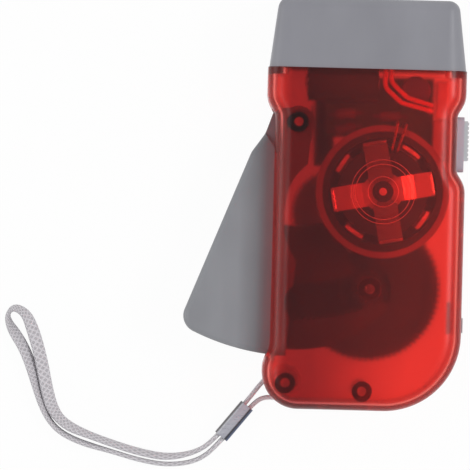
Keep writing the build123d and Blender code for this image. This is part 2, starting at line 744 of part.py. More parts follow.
def idler_gear():
    """Double gear between the drive gear and the flywheel pinion."""
    top = Z_IDLER + IDLER_FACE
    small = plate(gear_face(IDLER, IDLER_PINION_TEETH, IDLER_PHASE), Z_DRIVE, Z_IDLER)
    large = plate(gear_face(IDLER, IDLER_TEETH, IDLER_GEAR_PHASE), Z_IDLER, top)
    rim = pitch_radius(IDLER_TEETH) - 2.2
    large -= ring(IDLER, rim, 3.6, top - 1.0, top + 1)
    body = small + large + disc(IDLER, 2.4, top - 0.5, top + 0.4)
    return body - disc(IDLER, SHAFT_R + RUN, Z_DRIVE - 1, top + 2)


def idler_axle():
    """Steel pin in the back cover, with a small head."""
    top = Z_IDLER + IDLER_FACE + 0.4
    return disc(IDLER, SHAFT_R, WALL / 2 + 0.1, top + 0.9) + disc(IDLER, 1.7, top + RUN, top + 0.9)


def flywheel_pinion():
    """Brass pinion whose hub is pressed into the flywheel."""
    top = Z_IDLER + IDLER_FACE + 0.3
    body = plate(gear_face(FLY, FLY_TEETH, FLY_PHASE), Z_IDLER, top)
    body += disc(FLY, 1.9, top - 0.2, Z_CUP + CUP_FLOOR)
    return body - disc(FLY, SHAFT_R + RUN, Z_IDLER - 1, Z_CUP + 3)


def flywheel_cup():
    """Moulded flywheel that turns round the stator, open to the front."""
    cup = disc(FLY, RIM_R, Z_CUP, Z_RIM) - disc(FLY, MAGNET_R + FIT, Z_CUP + CUP_FLOOR, Z_RIM + 1)
    cup += disc(FLY, 3.4, Z_CUP - 1.2, Z_CUP + 0.5)
    return cup - disc(FLY, 1.9 + FIT, Z_CUP - 2, Z_CUP + 3)


def ring_magnet():
    """Ring magnet seated in the flywheel."""
    return ring(FLY, MAGNET_R, MAGNET_BORE, Z_MAGNET, Z_MAGNET + MAGNET_HEIGHT)


def flywheel_shaft():
    """Fixed steel shaft under the flywheel and the stator."""
    return disc(FLY, SHAFT_R, WALL / 2 + 0.1, Z_STATOR_TOP + HUB_RISE + 0.9)


# ---------------------------------------------------------------- stator
Z_REAR_PLATE = Z_CUP + CUP_FLOOR + 0.8
Z_BOBBIN = Z_REAR_PLATE + PLATE + RUN
Z_BOBBIN_TOP = Z_RIM - RUN


def claw_plate(profile, disc_r, disc_z, width, turn):
    """Plate with four pressed arms, each with the same side profile, round a disc."""
    section = make_face(Plane.XZ.offset(width / 2) * Polyline(*profile, close=True))
    arm = extrude(section, width, dir=(0, 1, 0))
    body = disc(FLY, disc_r, disc_z, disc_z + PLATE)
    for n in range(4):
        body += Pos(FLY[0], FLY[1], 0) * Rot(0, 0, turn + 90 * n) * arm
    body &= disc(FLY, CLAW_R, Z_REAR_PLATE - 1, Z_STATOR_TOP + 2)
    return body - disc(FLY, STATOR_HUB_R + FIT, Z_REAR_PLATE - 1, Z_STATOR_TOP + 2)


def stator_front_plate():
    """Front claw plate, seen through the case as a broad cross with a raised middle."""
    top = Z_STATOR_TOP
    low = Z_REAR_PLATE + PLATE + 0.6
    claw = CLAW_R - CLAW_THICK
    profile = [
        (0, top + HUB_RISE), (HUB_DISC_R, top + HUB_RISE), (ARM_BEND, top), (CLAW_R + 1, top),
        (CLAW_R + 1, low),
        (claw, low), (claw, top - PLATE), (ARM_BEND - 0.3, top - PLATE),
        (HUB_DISC_R - 0.3, top + HUB_RISE - PLATE), (0, top + HUB_RISE - PLATE),
    ]
    return claw_plate(profile, HUB_DISC_R, top + HUB_RISE - PLATE, ARM_WIDTH, ARM_TURN)


def stator_rear_plate():
    """Rear claw plate, whose four tabs show between the arms."""
    low = Z_REAR_PLATE
    claw = CLAW_R - CLAW_THICK
    profile = [
        (0, low), (CLAW_R + 1, low), (CLAW_R + 1, Z_RIM - 0.2), (claw, Z_RIM - 0.2),
        (claw, low + PLATE), (0, low + PLATE),
    ]
    return claw_plate(profile, REAR_DISC_R, low, TAB_WIDTH, ARM_TURN + 45)


def stator_hub():
    """Sleeve that holds the stator on the fixed shaft."""
    return ring(FLY, STATOR_HUB_R, SHAFT_R + FIT, Z_CUP + CUP_FLOOR + 0.2, Z_STATOR_TOP + HUB_RISE + 0.7)


def coil_bobbin():
    """Spool between the plates."""
    core = STATOR_HUB_R + 1.3
    body = disc(FLY, BOBBIN_R, Z_BOBBIN, Z_BOBBIN_TOP)
    body -= ring(FLY, BOBBIN_R + 1, core, Z_BOBBIN + 0.8, Z_BOBBIN_TOP - 0.8)
    return body - disc(FLY, STATOR_HUB_R + FIT, Z_BOBBIN - 1, Z_BOBBIN_TOP + 1)


def coil_winding():
    """Copper winding on the spool."""
    low = Z_BOBBIN + 0.8 + FIT
    high = Z_BOBBIN_TOP - 0.8 - FIT
    body = ring(FLY, COIL_R, STATOR_HUB_R + 1.3 + FIT, low, high)
    crown = body.edges().filter_by(GeomType.CIRCLE).filter_by(lambda e: e.radius > COIL_R - 0.1)
    return fillet(crown, 0.8)


# ---------------------------------------------------------------- electrics
BOARD_LEFT = -10.5
BOARD_TOP = SEAM_Y - 1.5
BOARD_LOW = 17.5
BOARD_TAIL = 11.5
BOARD_TAIL_TOP = 22.5
BOARD_RIGHT = 17.9
TAIL_LEFT = 13.7
TAIL_RIGHT = RECESS_X - WALL - 0.4


def board_posts():
    """Posts under the main board."""
    return [(BOARD_LEFT + 3, BOARD_LOW + 2.5), (BOARD_RIGHT - 1.2, BOARD_TOP - 3)]


def circuit_board():
    """Main board, with a tail under the switch."""
    top = Z_BOARD + BOARD_THICK
    body = block(BOARD_LEFT, BOARD_RIGHT, BOARD_LOW, BOARD_TOP, Z_BOARD, top)
    return body + block(TAIL_LEFT, TAIL_RIGHT, BOARD_TAIL, BOARD_TAIL_TOP, Z_BOARD, top)


Z_TOP_OF_BOARD = Z_BOARD + BOARD_THICK
DIODE_R = 1.35


DIODE_LENGTH = 5.2
DIODE_SPAN = 9.0  # between the ends of its leads
LEAD = 0.6


def diode(x, y, turn):
    """Axial diode lying on the board, with bent square leads."""
    body = Cylinder(DIODE_R, DIODE_LENGTH, rotation=(0, 90, 0)) + Box(DIODE_SPAN, LEAD, LEAD)
    for side in (LEAD - DIODE_SPAN, DIODE_SPAN - LEAD):
        upright = (Align.CENTER, Align.CENTER, Align.MAX)
        body += Pos(side / 2, 0, 0) * Box(LEAD, LEAD, DIODE_R + 0.2, align=upright)
    return Pos(x, y, Z_TOP_OF_BOARD + DIODE_R + 0.2) * Rot(0, 0, turn) * body


def rectifier_diodes():
    """Two diodes beside the cells and two below them."""
    left = FLY[0] - 9.9
    right = FLY[0] + 1.8
    low = FLY[1] + RIM_R - 1.1
    return [
        diode(left, low + 4.2, 5), diode(right, low + 3.8, 0),
        diode(left, low + 0.2, 12), diode(right, low, 0),
    ]


CAP_R = 3.9
CAP_PLACE = (12.8, SEAM_Y - 5.2)


def storage_capacitor():
    """Round capacitor standing on the board, with a crimped shoulder."""
    z0 = Z_TOP_OF_BOARD + RUN
    body = disc(CAP_PLACE, CAP_R, z0, z0 + 10.4)
    body -= ring(CAP_PLACE, CAP_R + 1, CAP_R - 0.3, z0 + 1.2, z0 + 2.0)
    rim = body.edges().filter_by(GeomType.CIRCLE).sort_by(Axis.Z)[-1]
    return fillet(rim, 0.6)


CELL_GAP = 0.85  # air between the cells and the lamp board
CELL_Y = LED_BOARD_Y - CELL_GAP - CELL_R
CELL_Z = Z_TOP_OF_BOARD + CELL_R + 0.45
CELL_X = -15.6


def lying_disc(radius, x0, x1):
    """Cylinder along X on the axis of the cells."""
    return Pos(x0, CELL_Y, CELL_Z) * Rot(0, 90, 0) * Cylinder(
        radius, x1 - x0, align=(Align.CENTER, Align.CENTER, Align.MIN)
    )


def battery_cells():
    """Three button cells in a row."""
    cells = []
    for n in range(CELL_COUNT):
        x0 = CELL_X + n * CELL_LENGTH
        cell = lying_disc(CELL_R - 0.25, x0 + 0.5, x0 + CELL_LENGTH - 0.05)
        cells.append(cell + lying_disc(CELL_R - 1.4, x0, x0 + 0.6))
    return cells


def battery_sleeve():
    """Shrunk sleeve round the cells."""
    end = CELL_X + CELL_COUNT * CELL_LENGTH
    return lying_disc(CELL_R, CELL_X + 0.3, end) - lying_disc(CELL_R - 0.22, CELL_X - 1, end + 1)


def battery_tabs():
    """Spring strips at both ends of the cells, soldered to the board."""
    end = CELL_X + CELL_COUNT * CELL_LENGTH
    right = block(end, end + 0.4, CELL_Y - 2, CELL_Y + 1, Z_TOP_OF_BOARD, CELL_Z + 2)
    left = block(CELL_X - 0.45, CELL_X - 0.05, CELL_Y - 2, CELL_Y + 1, Z_TOP_OF_BOARD, CELL_Z + 2)
    foot = block(
        CELL_X - 0.45, BOARD_LEFT + 2, CELL_Y - 2, CELL_Y + 1, Z_TOP_OF_BOARD, Z_TOP_OF_BOARD + 0.35
    )
    return [right, left + foot]


WIRE_SIDES = 8


def wire(points, radius, bend):
    """Wire along straight runs joined by arcs, with flats round it."""
    path = FilletPolyline(*points, radius=bend)
    start = Plane(origin=path @ 0, z_dir=path % 0)
    return sweep(start * RegularPolygon(radius, WIRE_SIDES), path)


LED_WIRE_R = 0.6
LED_WIRE_Z = CASE_DEPTH - 8.0
LED_WIRE_X = BOARD_RIGHT - 1.0


def led_wires():
    """Two insulated wires from the lamp board to the main board."""
    wires = []
    top = LED_BOARD_Y - RUN
    for n in range(2):
        gap = n * 1.5
        route = [
            (4.7 + gap, top, LED_WIRE_Z),
            (4.7 + gap, SEAM_Y - 4.5 + gap, LED_WIRE_Z),
            (9.0 + gap, 26.6 + gap * 0.9, LED_WIRE_Z),
            (LED_WIRE_X, 24.6 + gap, LED_WIRE_Z),
            (LED_WIRE_X, 24.6 + gap, Z_TOP_OF_BOARD + RUN),
        ]
        wires.append(wire(route, LED_WIRE_R, [3.0, 3.0, 1.2]))
    return wires


COIL_WIRE_R = 0.35


def coil_wires():
    """Two thin wires from the winding, over the rim, down to the board."""
    wires = []
    over = Z_RIM + 1.6
    for turn in (72, 79):
        aim = radians(turn)
        inner = beyond(FLY, aim, BOBBIN_R - 0.6)
        outer = beyond(FLY, aim, RIM_R + 1.2)
        route = [
            (inner[0], inner[1], Z_BOBBIN_TOP + RUN),
            (inner[0], inner[1], over),
            (outer[0], outer[1], over),
            (outer[0], outer[1], Z_TOP_OF_BOARD + RUN),
        ]
        wires.append(wire(route, COIL_WIRE_R, [0.8, 0.8]))
    return wires


# ---------------------------------------------------------------- switch and lock
SWITCH_BODY = RECESS_X - WALL - 0.25


def switch_body():
    """Slide switch on the tail of the board."""
    low = Z_TOP_OF_BOARD + RUN
    body = block(SWITCH_BODY - 3.8, SWITCH_BODY, SWITCH_Y - 5.0, SWITCH_Y + 5.0, low, low + 4.8)
    reach = 1.1 + SWITCH_TRAVEL
    return body - block(
        SWITCH_BODY - 1.6, SWITCH_BODY + 1, SWITCH_Y - reach, SWITCH_Y + reach,
        SWITCH_Z - 1.2, SWITCH_Z + 1.2,
    )


def switch_guard():
    """Light plate that fills the recess round the switch knob."""
    middle = (RECESS_TOP + RECESS_END) / 2
    sketch = Plane.YZ.offset(RECESS_X + RUN) * Pos(middle, SWITCH_Z) * RectangleRounded(
        GUARD_LENGTH, GUARD_WIDTH, 1.5
    )
    body = extrude(sketch, GUARD_THICK, dir=(1, 0, 0))
    reach = 1.3 + SWITCH_TRAVEL
    return body - block(
        RECESS_X - 1, RECESS_X + 3, SWITCH_Y - reach, SWITCH_Y + reach, SWITCH_Z - 1.3, SWITCH_Z + 1.3,
    )


def switch_knob():
    """Ribbed slide with the stem that moves the switch."""
    face = RECESS_X + RUN + GUARD_THICK + 0.1
    body = block(
        face, face + KNOB_RISE - KNOB_RIB,
        SWITCH_Y - KNOB_LENGTH / 2, SWITCH_Y + KNOB_LENGTH / 2,
        SWITCH_Z - KNOB_WIDTH / 2, SWITCH_Z + KNOB_WIDTH / 2,
    )
    ribs = 9
    pitch = KNOB_LENGTH / ribs
    for n in range(ribs):
        y0 = SWITCH_Y - KNOB_LENGTH / 2 + n * pitch
        body += block(
            face, face + KNOB_RISE, y0 + 0.1 * pitch, y0 + 0.7 * pitch,
            SWITCH_Z - KNOB_WIDTH / 2, SWITCH_Z + KNOB_WIDTH / 2,
        )
    stem = block(SWITCH_BODY - 1.2, face, SWITCH_Y - 1.0, SWITCH_Y + 1.0, SWITCH_Z - 1.0, SWITCH_Z + 1.0)
    return body + stem


def lock_slider():
    """Small slide whose inner finger keeps the lever closed."""
    wall = CASE_HALF + 0.1
    nub = block(wall + 0.1, wall + 0.8, LOCK_Y - 1.9, LOCK_Y + 1.9, LOCK_Z - 2.2, LOCK_Z + 2.2)
    neck = block(wall - WALL - 0.2, wall + 0.2, LOCK_Y - 0.9, LOCK_Y + 0.9, LOCK_Z - 0.9, LOCK_Z + 0.9)
    inner = wall - WALL - 0.1
    finger = block(inner - 1.2, inner, LOCK_Y - 2.4, LOCK_Y + 6.0, LOCK_Z - 1.8, LOCK_Z + 1.8)
    return nub + neck + finger


# ---------------------------------------------------------------- return spring
SPRING_WIRE_R = 0.35
SPRING_R = PIVOT_POST_R + 1.05
SPRING_PITCH = 1.2
SPRING_TURNS = 3
SPRING_TOP = 1.2  # last turn below the lever
SPRING_SIDES = 6


def biarc(start, start_dir, end, end_dir):
    """Two tangent arcs between two points with given directions."""
    v = end - start
    t = start_dir + end_dir
    down = 2 * (1 - start_dir.dot(end_dir))
    arm = (-v.dot(t) + sqrt(v.dot(t) ** 2 + down * v.dot(v))) / down
    first = start + start_dir * arm
    last = end - end_dir * arm
    joint = (first + last) * 0.5
    return [
        TangentArc(start, joint, tangent=start_dir),
        TangentArc(joint, end, tangent=(last - first).normalized()),
    ]


def return_spring():
    """Torsion spring round the pivot post, with a leg at each end."""
    climb = SPRING_PITCH / (2 * pi * SPRING_R)
    z0 = Z_LEVER - SPRING_TOP - SPRING_TURNS * SPRING_PITCH

    def at(step):
        angle = step * pi
        x, y = beyond(PIVOT, angle, SPRING_R)
        heading = Vector(-sin(angle), cos(angle), climb).normalized()
        return Vector(x, y, z0 + step * SPRING_PITCH / 2), heading

    edges = []
    steps = SPRING_TURNS * 2
    begin, heading = at(0)
    edges.append(Line(begin - heading * 5.0, begin))
    for step in range(steps):
        here, here_dir = at(step)
        there, there_dir = at(step + 1)
        edges += biarc(here, here_dir, there, there_dir)
    finish, leaving = at(steps)
    edges.append(Line(finish, finish + leaving * 5.0))
    path = Wire([edge.edges()[0] for edge in edges])
    print("return spring: least gap between turns", round(SPRING_PITCH - 2 * SPRING_WIRE_R, 3))
    return sweep(Plane(origin=path @ 0, z_dir=path % 0) * RegularPolygon(SPRING_WIRE_R, SPRING_SIDES), path)


# ---------------------------------------------------------------- strap
WRIST_RISE = STRAP_WIDTH / 2 + 0.05
FERRULE_HEIGHT = STRAP_WIDTH + 0.3 + 2 * FERRULE_WALL
FERRULE_RISE = FERRULE_HEIGHT / 2
WRIST_ROUTE = [
    (-42.0, -66.0),
    (-49.5, -68.3),
    (-60.0, -65.6),
    (-69.5, -62.6),
    (-77.5, -58.6),
    (-82.3, -51.5),
    (-84.9, -42.0),
    (-86.0, -34.0),
    (-87.6, -29.2),
    (-92.6, -28.2),
    (-93.2, -33.4),
    (-90.0, -40.0),
    (-87.2, -46.5),
    (-86.1, -52.8),
    (-80.2, -61.2),
    (-71.0, -65.2),
    (-61.0, -68.1),
    (-49.5, -70.9),
    (-40.6, -68.6),
]


def ferrule_place(along, across, z):
    """Point in the ferrule's own directions, from its case end."""
    x, y = beyond(FERRULE_FRONT, FERRULE_LEAN, along)
    x, y = beyond((x, y), FERRULE_LEAN + pi / 2, across)
    return (x, y, z)


def route_radii(points):
    """As large an arc at each corner as its two runs allow."""
    radii = []
    for before, here, after in zip(points, points[1:], points[2:]):
        first = Vector(*here) - Vector(*before)
        second = Vector(*after) - Vector(*here)
        half_turn = radians(first.get_angle(second)) / 2
        radii.append(0.45 * min(first.length, second.length) / tan(half_turn))
    return radii


def strap_tube(points, radii, name):
    """Flat strap on edge along straight runs joined by arcs."""
    path = FilletPolyline(*points, radius=radii)
    start = Plane(origin=path @ 0, x_dir=(0, 0, 1), z_dir=path % 0)
    strap = sweep(start * Rectangle(STRAP_WIDTH, STRAP_THICK), path)
    section = STRAP_WIDTH * STRAP_THICK
    print(name, "length", round(path.length, 2), "radii", [round(r, 2) for r in radii])
    print(name, "volume over section times length", round(strap.volume / section / path.length, 4))
    return strap


def wrist_strap():
    """Loop for the wrist, from the ferrule and back into it."""
    ends = [FERRULE_LENGTH / 2, FERRULE_LENGTH + 1.0]
    out = [ferrule_place(along, -PLY_GAP, FERRULE_RISE) for along in ends]
    back = [ferrule_place(along, PLY_GAP, FERRULE_RISE) for along in reversed(ends)]
    points = out + [(x, y, WRIST_RISE) for x, y in WRIST_ROUTE] + back
    return strap_tube(points, route_radii(points), "wrist_strap")


def strap_tether():
    """Short loop from the ferrule round the screw post in the lower corner."""
    middle = FERRULE_LENGTH / 2 - 0.4
    radius = BOSS_R + CLEAR + STRAP_THICK / 2
    far = beyond(FOOT_BOSS, STRAP_AIM + pi, radius)
    near = beyond(FOOT_BOSS, STRAP_AIM, radius)

    def corner(point, across):
        x, y = beyond(point, STRAP_AIM + pi / 2, across)
        return (x, y, STRAP_RISE)

    points = [
        ferrule_place(middle, PLY_GAP, FERRULE_RISE),
        ferrule_place(-1.0, PLY_GAP, FERRULE_RISE),
        corner(near, radius),
        corner(far, radius),
        corner(far, -radius),
        corner(near, -radius),
        ferrule_place(-1.0, -PLY_GAP, FERRULE_RISE),
        ferrule_place(middle, -PLY_GAP, FERRULE_RISE),
    ]
    turn = 0.97 * radius
    return strap_tube(points, [2.0, 2.0, turn, turn, 2.0, 2.0], "strap_tether")


def strap_ferrule():
    """Pressed metal sleeve that grips both plies of the strap."""
    width = 2 * (PLY_GAP + STRAP_THICK / 2 + 0.15 + FERRULE_WALL)
    middle = ferrule_place(FERRULE_LENGTH / 2, 0, FERRULE_RISE)
    place = Pos(*middle) * Rot(0, 0, degrees(FERRULE_LEAN))
    outer = Box(FERRULE_LENGTH, width, FERRULE_HEIGHT)
    outer = fillet(outer.edges().filter_by(Axis.X), 1.0)
    bore = Box(FERRULE_LENGTH + 2, width - 2 * FERRULE_WALL, FERRULE_HEIGHT - 2 * FERRULE_WALL)
    return place * (outer - bore)


PIECES = [
    back_cover, front_cover, case_screws, head_bezel, head_lens, reflector, led_lamps, led_board,
    squeeze_lever, lever_rack, return_spring, ratchet_pinion, drive_gear, drive_axle, idler_gear,
    idler_axle, flywheel_pinion, flywheel_cup, ring_magnet, flywheel_shaft, stator_front_plate,
    stator_rear_plate, stator_hub, coil_bobbin, coil_winding, circuit_board, rectifier_diodes,
    storage_capacitor, battery_cells, battery_sleeve, battery_tabs, led_wires, coil_wires,
    switch_body, switch_guard, switch_knob, lock_slider, wrist_strap, strap_tether, strap_ferrule,
]


def main():
    """Write one file for each piece."""
    os.makedirs("parts", exist_ok=True)
    for piece in PIECES:
        made = piece()
        solids = made if isinstance(made, list) else [made]
        shape = Compound([solid for part in solids for solid in part.solids()])
        export_step(shape, os.path.join("parts", piece.__name__ + ".step"))


if __name__ == "__main__":
    main()
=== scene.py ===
"""Looks of a squeeze-lever dynamo torch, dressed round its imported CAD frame.

The torch lies on its back in the frame's own metres: +Z points out of the front face, +Y to
the lamp head and +X to the switch side. Each sub-assembly is a class that holds its sizes,
builds the pieces that the frame lacks and dresses the frame's own nodes.
"""
from __future__ import annotations

import json
import logging
import math
from dataclasses import dataclass
from enum import Enum
from typing import Protocol

import bmesh
import bpy
from mathutils import Matrix, Vector

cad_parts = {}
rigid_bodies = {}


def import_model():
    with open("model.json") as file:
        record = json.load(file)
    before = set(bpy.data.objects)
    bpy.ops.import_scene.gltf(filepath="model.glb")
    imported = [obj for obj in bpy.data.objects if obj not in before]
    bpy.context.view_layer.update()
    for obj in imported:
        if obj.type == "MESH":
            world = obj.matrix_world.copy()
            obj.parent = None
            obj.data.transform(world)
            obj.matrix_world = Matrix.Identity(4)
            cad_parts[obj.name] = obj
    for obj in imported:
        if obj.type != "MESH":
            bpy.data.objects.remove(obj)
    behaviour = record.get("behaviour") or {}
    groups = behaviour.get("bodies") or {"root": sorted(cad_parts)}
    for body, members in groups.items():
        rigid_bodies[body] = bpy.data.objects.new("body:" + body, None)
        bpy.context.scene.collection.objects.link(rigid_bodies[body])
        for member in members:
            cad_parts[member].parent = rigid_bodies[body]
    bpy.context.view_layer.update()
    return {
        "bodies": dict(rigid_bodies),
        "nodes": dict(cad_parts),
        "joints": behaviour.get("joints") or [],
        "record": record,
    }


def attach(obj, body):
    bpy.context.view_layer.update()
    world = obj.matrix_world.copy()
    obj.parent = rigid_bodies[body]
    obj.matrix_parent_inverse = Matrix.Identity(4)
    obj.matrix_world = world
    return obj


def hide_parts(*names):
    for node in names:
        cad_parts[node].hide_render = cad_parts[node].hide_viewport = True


LOG = logging.getLogger("torch")
MM = 0.001
Spot = tuple[float, float]
Colour = tuple[float, float, float]
Point = tuple[float, float, float]


# ------------------------------------------------------------------ node trees
class NodeTree:
    """A shader tree and the few node recipes that materials and the world share."""

    def __init__(self, tree: bpy.types.NodeTree) -> None:
        """Work on a tree.

        Args:
            tree: Node tree of a material or of the world.
        """
        self.tree = tree

    def node(self, kind: str, **settings: object) -> bpy.types.Node:
        """Add a node and set its properties.

        Args:
            kind: The node's type without its ShaderNode prefix.
            settings: Properties of the node by name.

        Returns:
            The new node.
        """
        node = self.tree.nodes.new("ShaderNode" + kind)
        for key, value in settings.items():
            setattr(node, key, value)
        return node

    def link(self, source: bpy.types.NodeSocket, target: bpy.types.NodeSocket) -> None:
        """Join an output to an input.

        Args:
            source: The output.
            target: The input.
        """
        self.tree.links.new(source, target)

    def maths(self, operation: str, *values: bpy.types.NodeSocket | float) -> bpy.types.NodeSocket:
        """Work out one operation on outputs or plain numbers.

        Args:
            operation: The Math node's operation.
            values: What goes into its inputs, in their order.

        Returns:
            The result socket.
        """
        node = self.node("Math", operation=operation)
        for socket, value in zip(node.inputs, values):
            if isinstance(value, bpy.types.NodeSocket):
                self.link(value, socket)
            else:
                socket.default_value = value
        return node.outputs[0]

    def ramp(self, factor: bpy.types.NodeSocket, *stops: tuple[float, Colour]) -> bpy.types.NodeSocket:
        """Run a factor through a colour ramp.

        Args:
            factor: What drives the ramp.
            stops: Position and colour of two or more stops, in rising order.

        Returns:
            The colour socket.
        """
        ramp = self.node("ValToRGB")
        made = ramp.color_ramp.elements
        for element, (where, colour) in zip(made[:], (stops[0], stops[-1])):
            element.position, element.color = where, (*colour, 1.0)
        for where, colour in stops[1:-1]:
            made.new(where).color = (*colour, 1.0)
        self.link(factor, ramp.inputs["Fac"])
        return ramp.outputs["Color"]

    def mixed(self, share: bpy.types.NodeSocket, base: bpy.types.NodeSocket,
              over: bpy.types.NodeSocket) -> bpy.types.NodeSocket:
        """Mix two shaders.

        Args:
            share: How much of the second one shows.
            base: The first shader.
            over: The second shader.

        Returns:
            The mixed shader.
        """
        mix = self.node("MixShader")
        for source, target in zip((share, base, over), mix.inputs):
            self.link(source, target)
        return mix.outputs["Shader"]


class Paint(NodeTree):
    """One material, with its Principled shader and the recipes that the finishes share."""

    def __init__(self, name: str) -> None:
        """Start a material with its Principled shader.

        Args:
            name: The material's name.
        """
        self.material = bpy.data.materials.new(name)
        self.material.use_nodes = True
        super().__init__(self.material.node_tree)
        self.shader = self.tree.nodes["Principled BSDF"]
        self.output = self.tree.nodes["Material Output"]

    def set(self, **values: object) -> None:
        """Set sockets of the Principled shader.

        Args:
            values: A number, a colour or an output for each socket, with underscores for spaces.
        """
        for key, value in values.items():
            socket = self.shader.inputs[key.replace("_", " ")]
            if isinstance(value, bpy.types.NodeSocket):
                self.link(value, socket)
            else:
                socket.default_value = (*value, 1.0) if isinstance(value, tuple) else value

    def axes(self, middle: Spot | None = None, bearing: float = 0.0) -> bpy.types.NodeOutputs:
        """Split Object coordinates into X, Y and Z.

        Args:
            middle: Spot that X and Y are measured from, or None for the frame's origin.
            bearing: Where X points, in degrees, if a middle is given.

        Returns:
            The outputs X, Y and Z.
        """
        place = self.node("TexCoord").outputs["Object"]
        if middle is not None:
            mapping = self.node("Mapping", vector_type="TEXTURE")
            mapping.inputs["Location"].default_value = (*middle, 0.0)
            mapping.inputs["Rotation"].default_value = (0.0, 0.0, math.radians(bearing))
            self.link(place, mapping.inputs["Vector"])
            place = mapping.outputs["Vector"]
        split = self.node("SeparateXYZ")
        self.link(place, split.inputs[0])
        return split.outputs

    def noise(self, scale: float, detail: float = 3.0, stretch: Point = (1, 1, 1)) -> bpy.types.NodeSocket:
        """Noise on the piece's own coordinates.

        Args:
            scale: Features per metre.
            detail: Octaves of the noise.
            stretch: Scale along each axis before the noise.

        Returns:
            The factor socket.
        """
        mapping = self.node("Mapping")
        mapping.inputs["Scale"].default_value = stretch
        noise = self.node("TexNoise")
        noise.inputs["Scale"].default_value = scale
        noise.inputs["Detail"].default_value = detail
        self.link(self.node("TexCoord").outputs["Object"], mapping.inputs["Vector"])
        self.link(mapping.outputs["Vector"], noise.inputs["Vector"])
        return noise.outputs["Fac"]

    def blend(self, factor: bpy.types.NodeSocket, low: Colour, high: Colour,
              start: float = 0.3, end: float = 0.7) -> bpy.types.NodeSocket:
        """Blend of two colours over a factor.

        Args:
            factor: What drives the blend.
            low: Colour below start.
            high: Colour above end.
            start: Factor where the blend begins.
            end: Factor where it ends.

        Returns:
            The colour socket.
        """
        return self.ramp(factor, (start, low), (end, high))

    def span(self, factor: bpy.types.NodeSocket, low: float, high: float,
             start: float = 0.3, end: float = 0.7) -> bpy.types.NodeSocket:
        """Map a factor onto a span of numbers.

        Args:
            factor: What is mapped.
            low: Result at start.
            high: Result at end.
            start: Lowest factor.
            end: Highest factor.

        Returns:
            The mapped value socket.
        """
        mapped = self.node("MapRange")
        for key, value in (("From Min", start), ("From Max", end), ("To Min", low), ("To Max", high)):
            mapped.inputs[key].default_value = value
        self.link(factor, mapped.inputs["Value"])
        return mapped.outputs["Result"]

    def bump(self, height: bpy.types.NodeSocket, depth: float) -> None:
        """Add a bump to whatever normal the shader has so far.

        Args:
            height: Height from 0 to 1.
            depth: Depth of the relief in metres.
        """
        bump = self.node("Bump")
        bump.inputs["Strength"].default_value = 1.0
        bump.inputs["Distance"].default_value = depth
        normal = self.shader.inputs["Normal"]
        if normal.is_linked:
            self.link(normal.links[0].from_socket, bump.inputs["Normal"])
        self.link(height, bump.inputs["Height"])
        self.link(bump.outputs["Normal"], normal)

    def let_lamps_through(self, tint: Colour) -> None:
        """Let rays from lamps pass, tinted, so that they reach what is behind.

        Args:
            tint: Colour of the light that gets through.
        """
        clear = self.node("BsdfTransparent")
        clear.inputs["Color"].default_value = (*tint, 1.0)
        shadow = self.node("LightPath").outputs["Is Shadow Ray"]
        shown = self.mixed(shadow, self.shader.outputs["BSDF"], clear.outputs["BSDF"])
        self.link(shown, self.output.inputs["Surface"])


# ------------------------------------------------------------------ finishes
class Finish(Protocol):
    """Any finish: settings from which a material is made."""

    def make(self) -> bpy.types.Material:
        """Build the material."""


@dataclass(frozen=True)
class TintedShell:
    """Frosted see-through plastic whose red carries painted light: paler towards the switch side, where the
    key lamp falls, and along the lever's edge, with painted shade between.
    """

    name: str
    shaded_tint: Colour
    lit_tint: Colour
    roughness: float = 0.25
    transmission: float = 0.974
    index: float = 1.2
    switch_side: Spot = (-0.014, 0.021)
    lever_rim: Spot = (-0.0245, -0.0195)
    rim_light_share: float = 0.75
    cloud_scale: float = 45.0
    cloud_share: float = 0.5
    grain_scale: float = 2600.0
    grain_depth: float = 0.000001
    unevenness: float = 0.02

    def make(self) -> bpy.types.Material:
        """Build the material.

        Returns:
            The material.
        """
        paint = Paint(self.name)
        across = paint.axes()["X"]
        # Painted light: the red pales across X towards the switch side and again at the lever's edge; the
        # rest stays the shaded red.
        inner = paint.span(across, 0.0, 1.0, *self.switch_side)
        rim_light = paint.span(across, self.rim_light_share, 0.0, *self.lever_rim)
        side = paint.maths("MAXIMUM", inner, rim_light)
        patches = paint.noise(self.cloud_scale, detail=2.0)
        light_and_cloud = paint.maths("MULTIPLY_ADD", patches, self.cloud_share, side)
        grain = paint.noise(self.grain_scale, detail=2.0)
        low, high = self.roughness - self.unevenness, self.roughness + self.unevenness
        paint.set(Base_Color=paint.blend(light_and_cloud, self.shaded_tint, self.lit_tint, start=0.22, end=1.0))
        paint.set(Transmission_Weight=self.transmission, IOR=self.index, Specular_IOR_Level=0.5)
        paint.set(Coat_Weight=0.3, Coat_Roughness=0.38, Coat_IOR=1.5)
        paint.set(Sheen_Weight=0.08, Sheen_Roughness=0.25, Sheen_Tint=(1.0, 0.35, 0.28))
        paint.set(Roughness=paint.span(grain, low, high))
        paint.bump(grain, self.grain_depth)
        paint.let_lamps_through(self.lit_tint)
        return paint.material


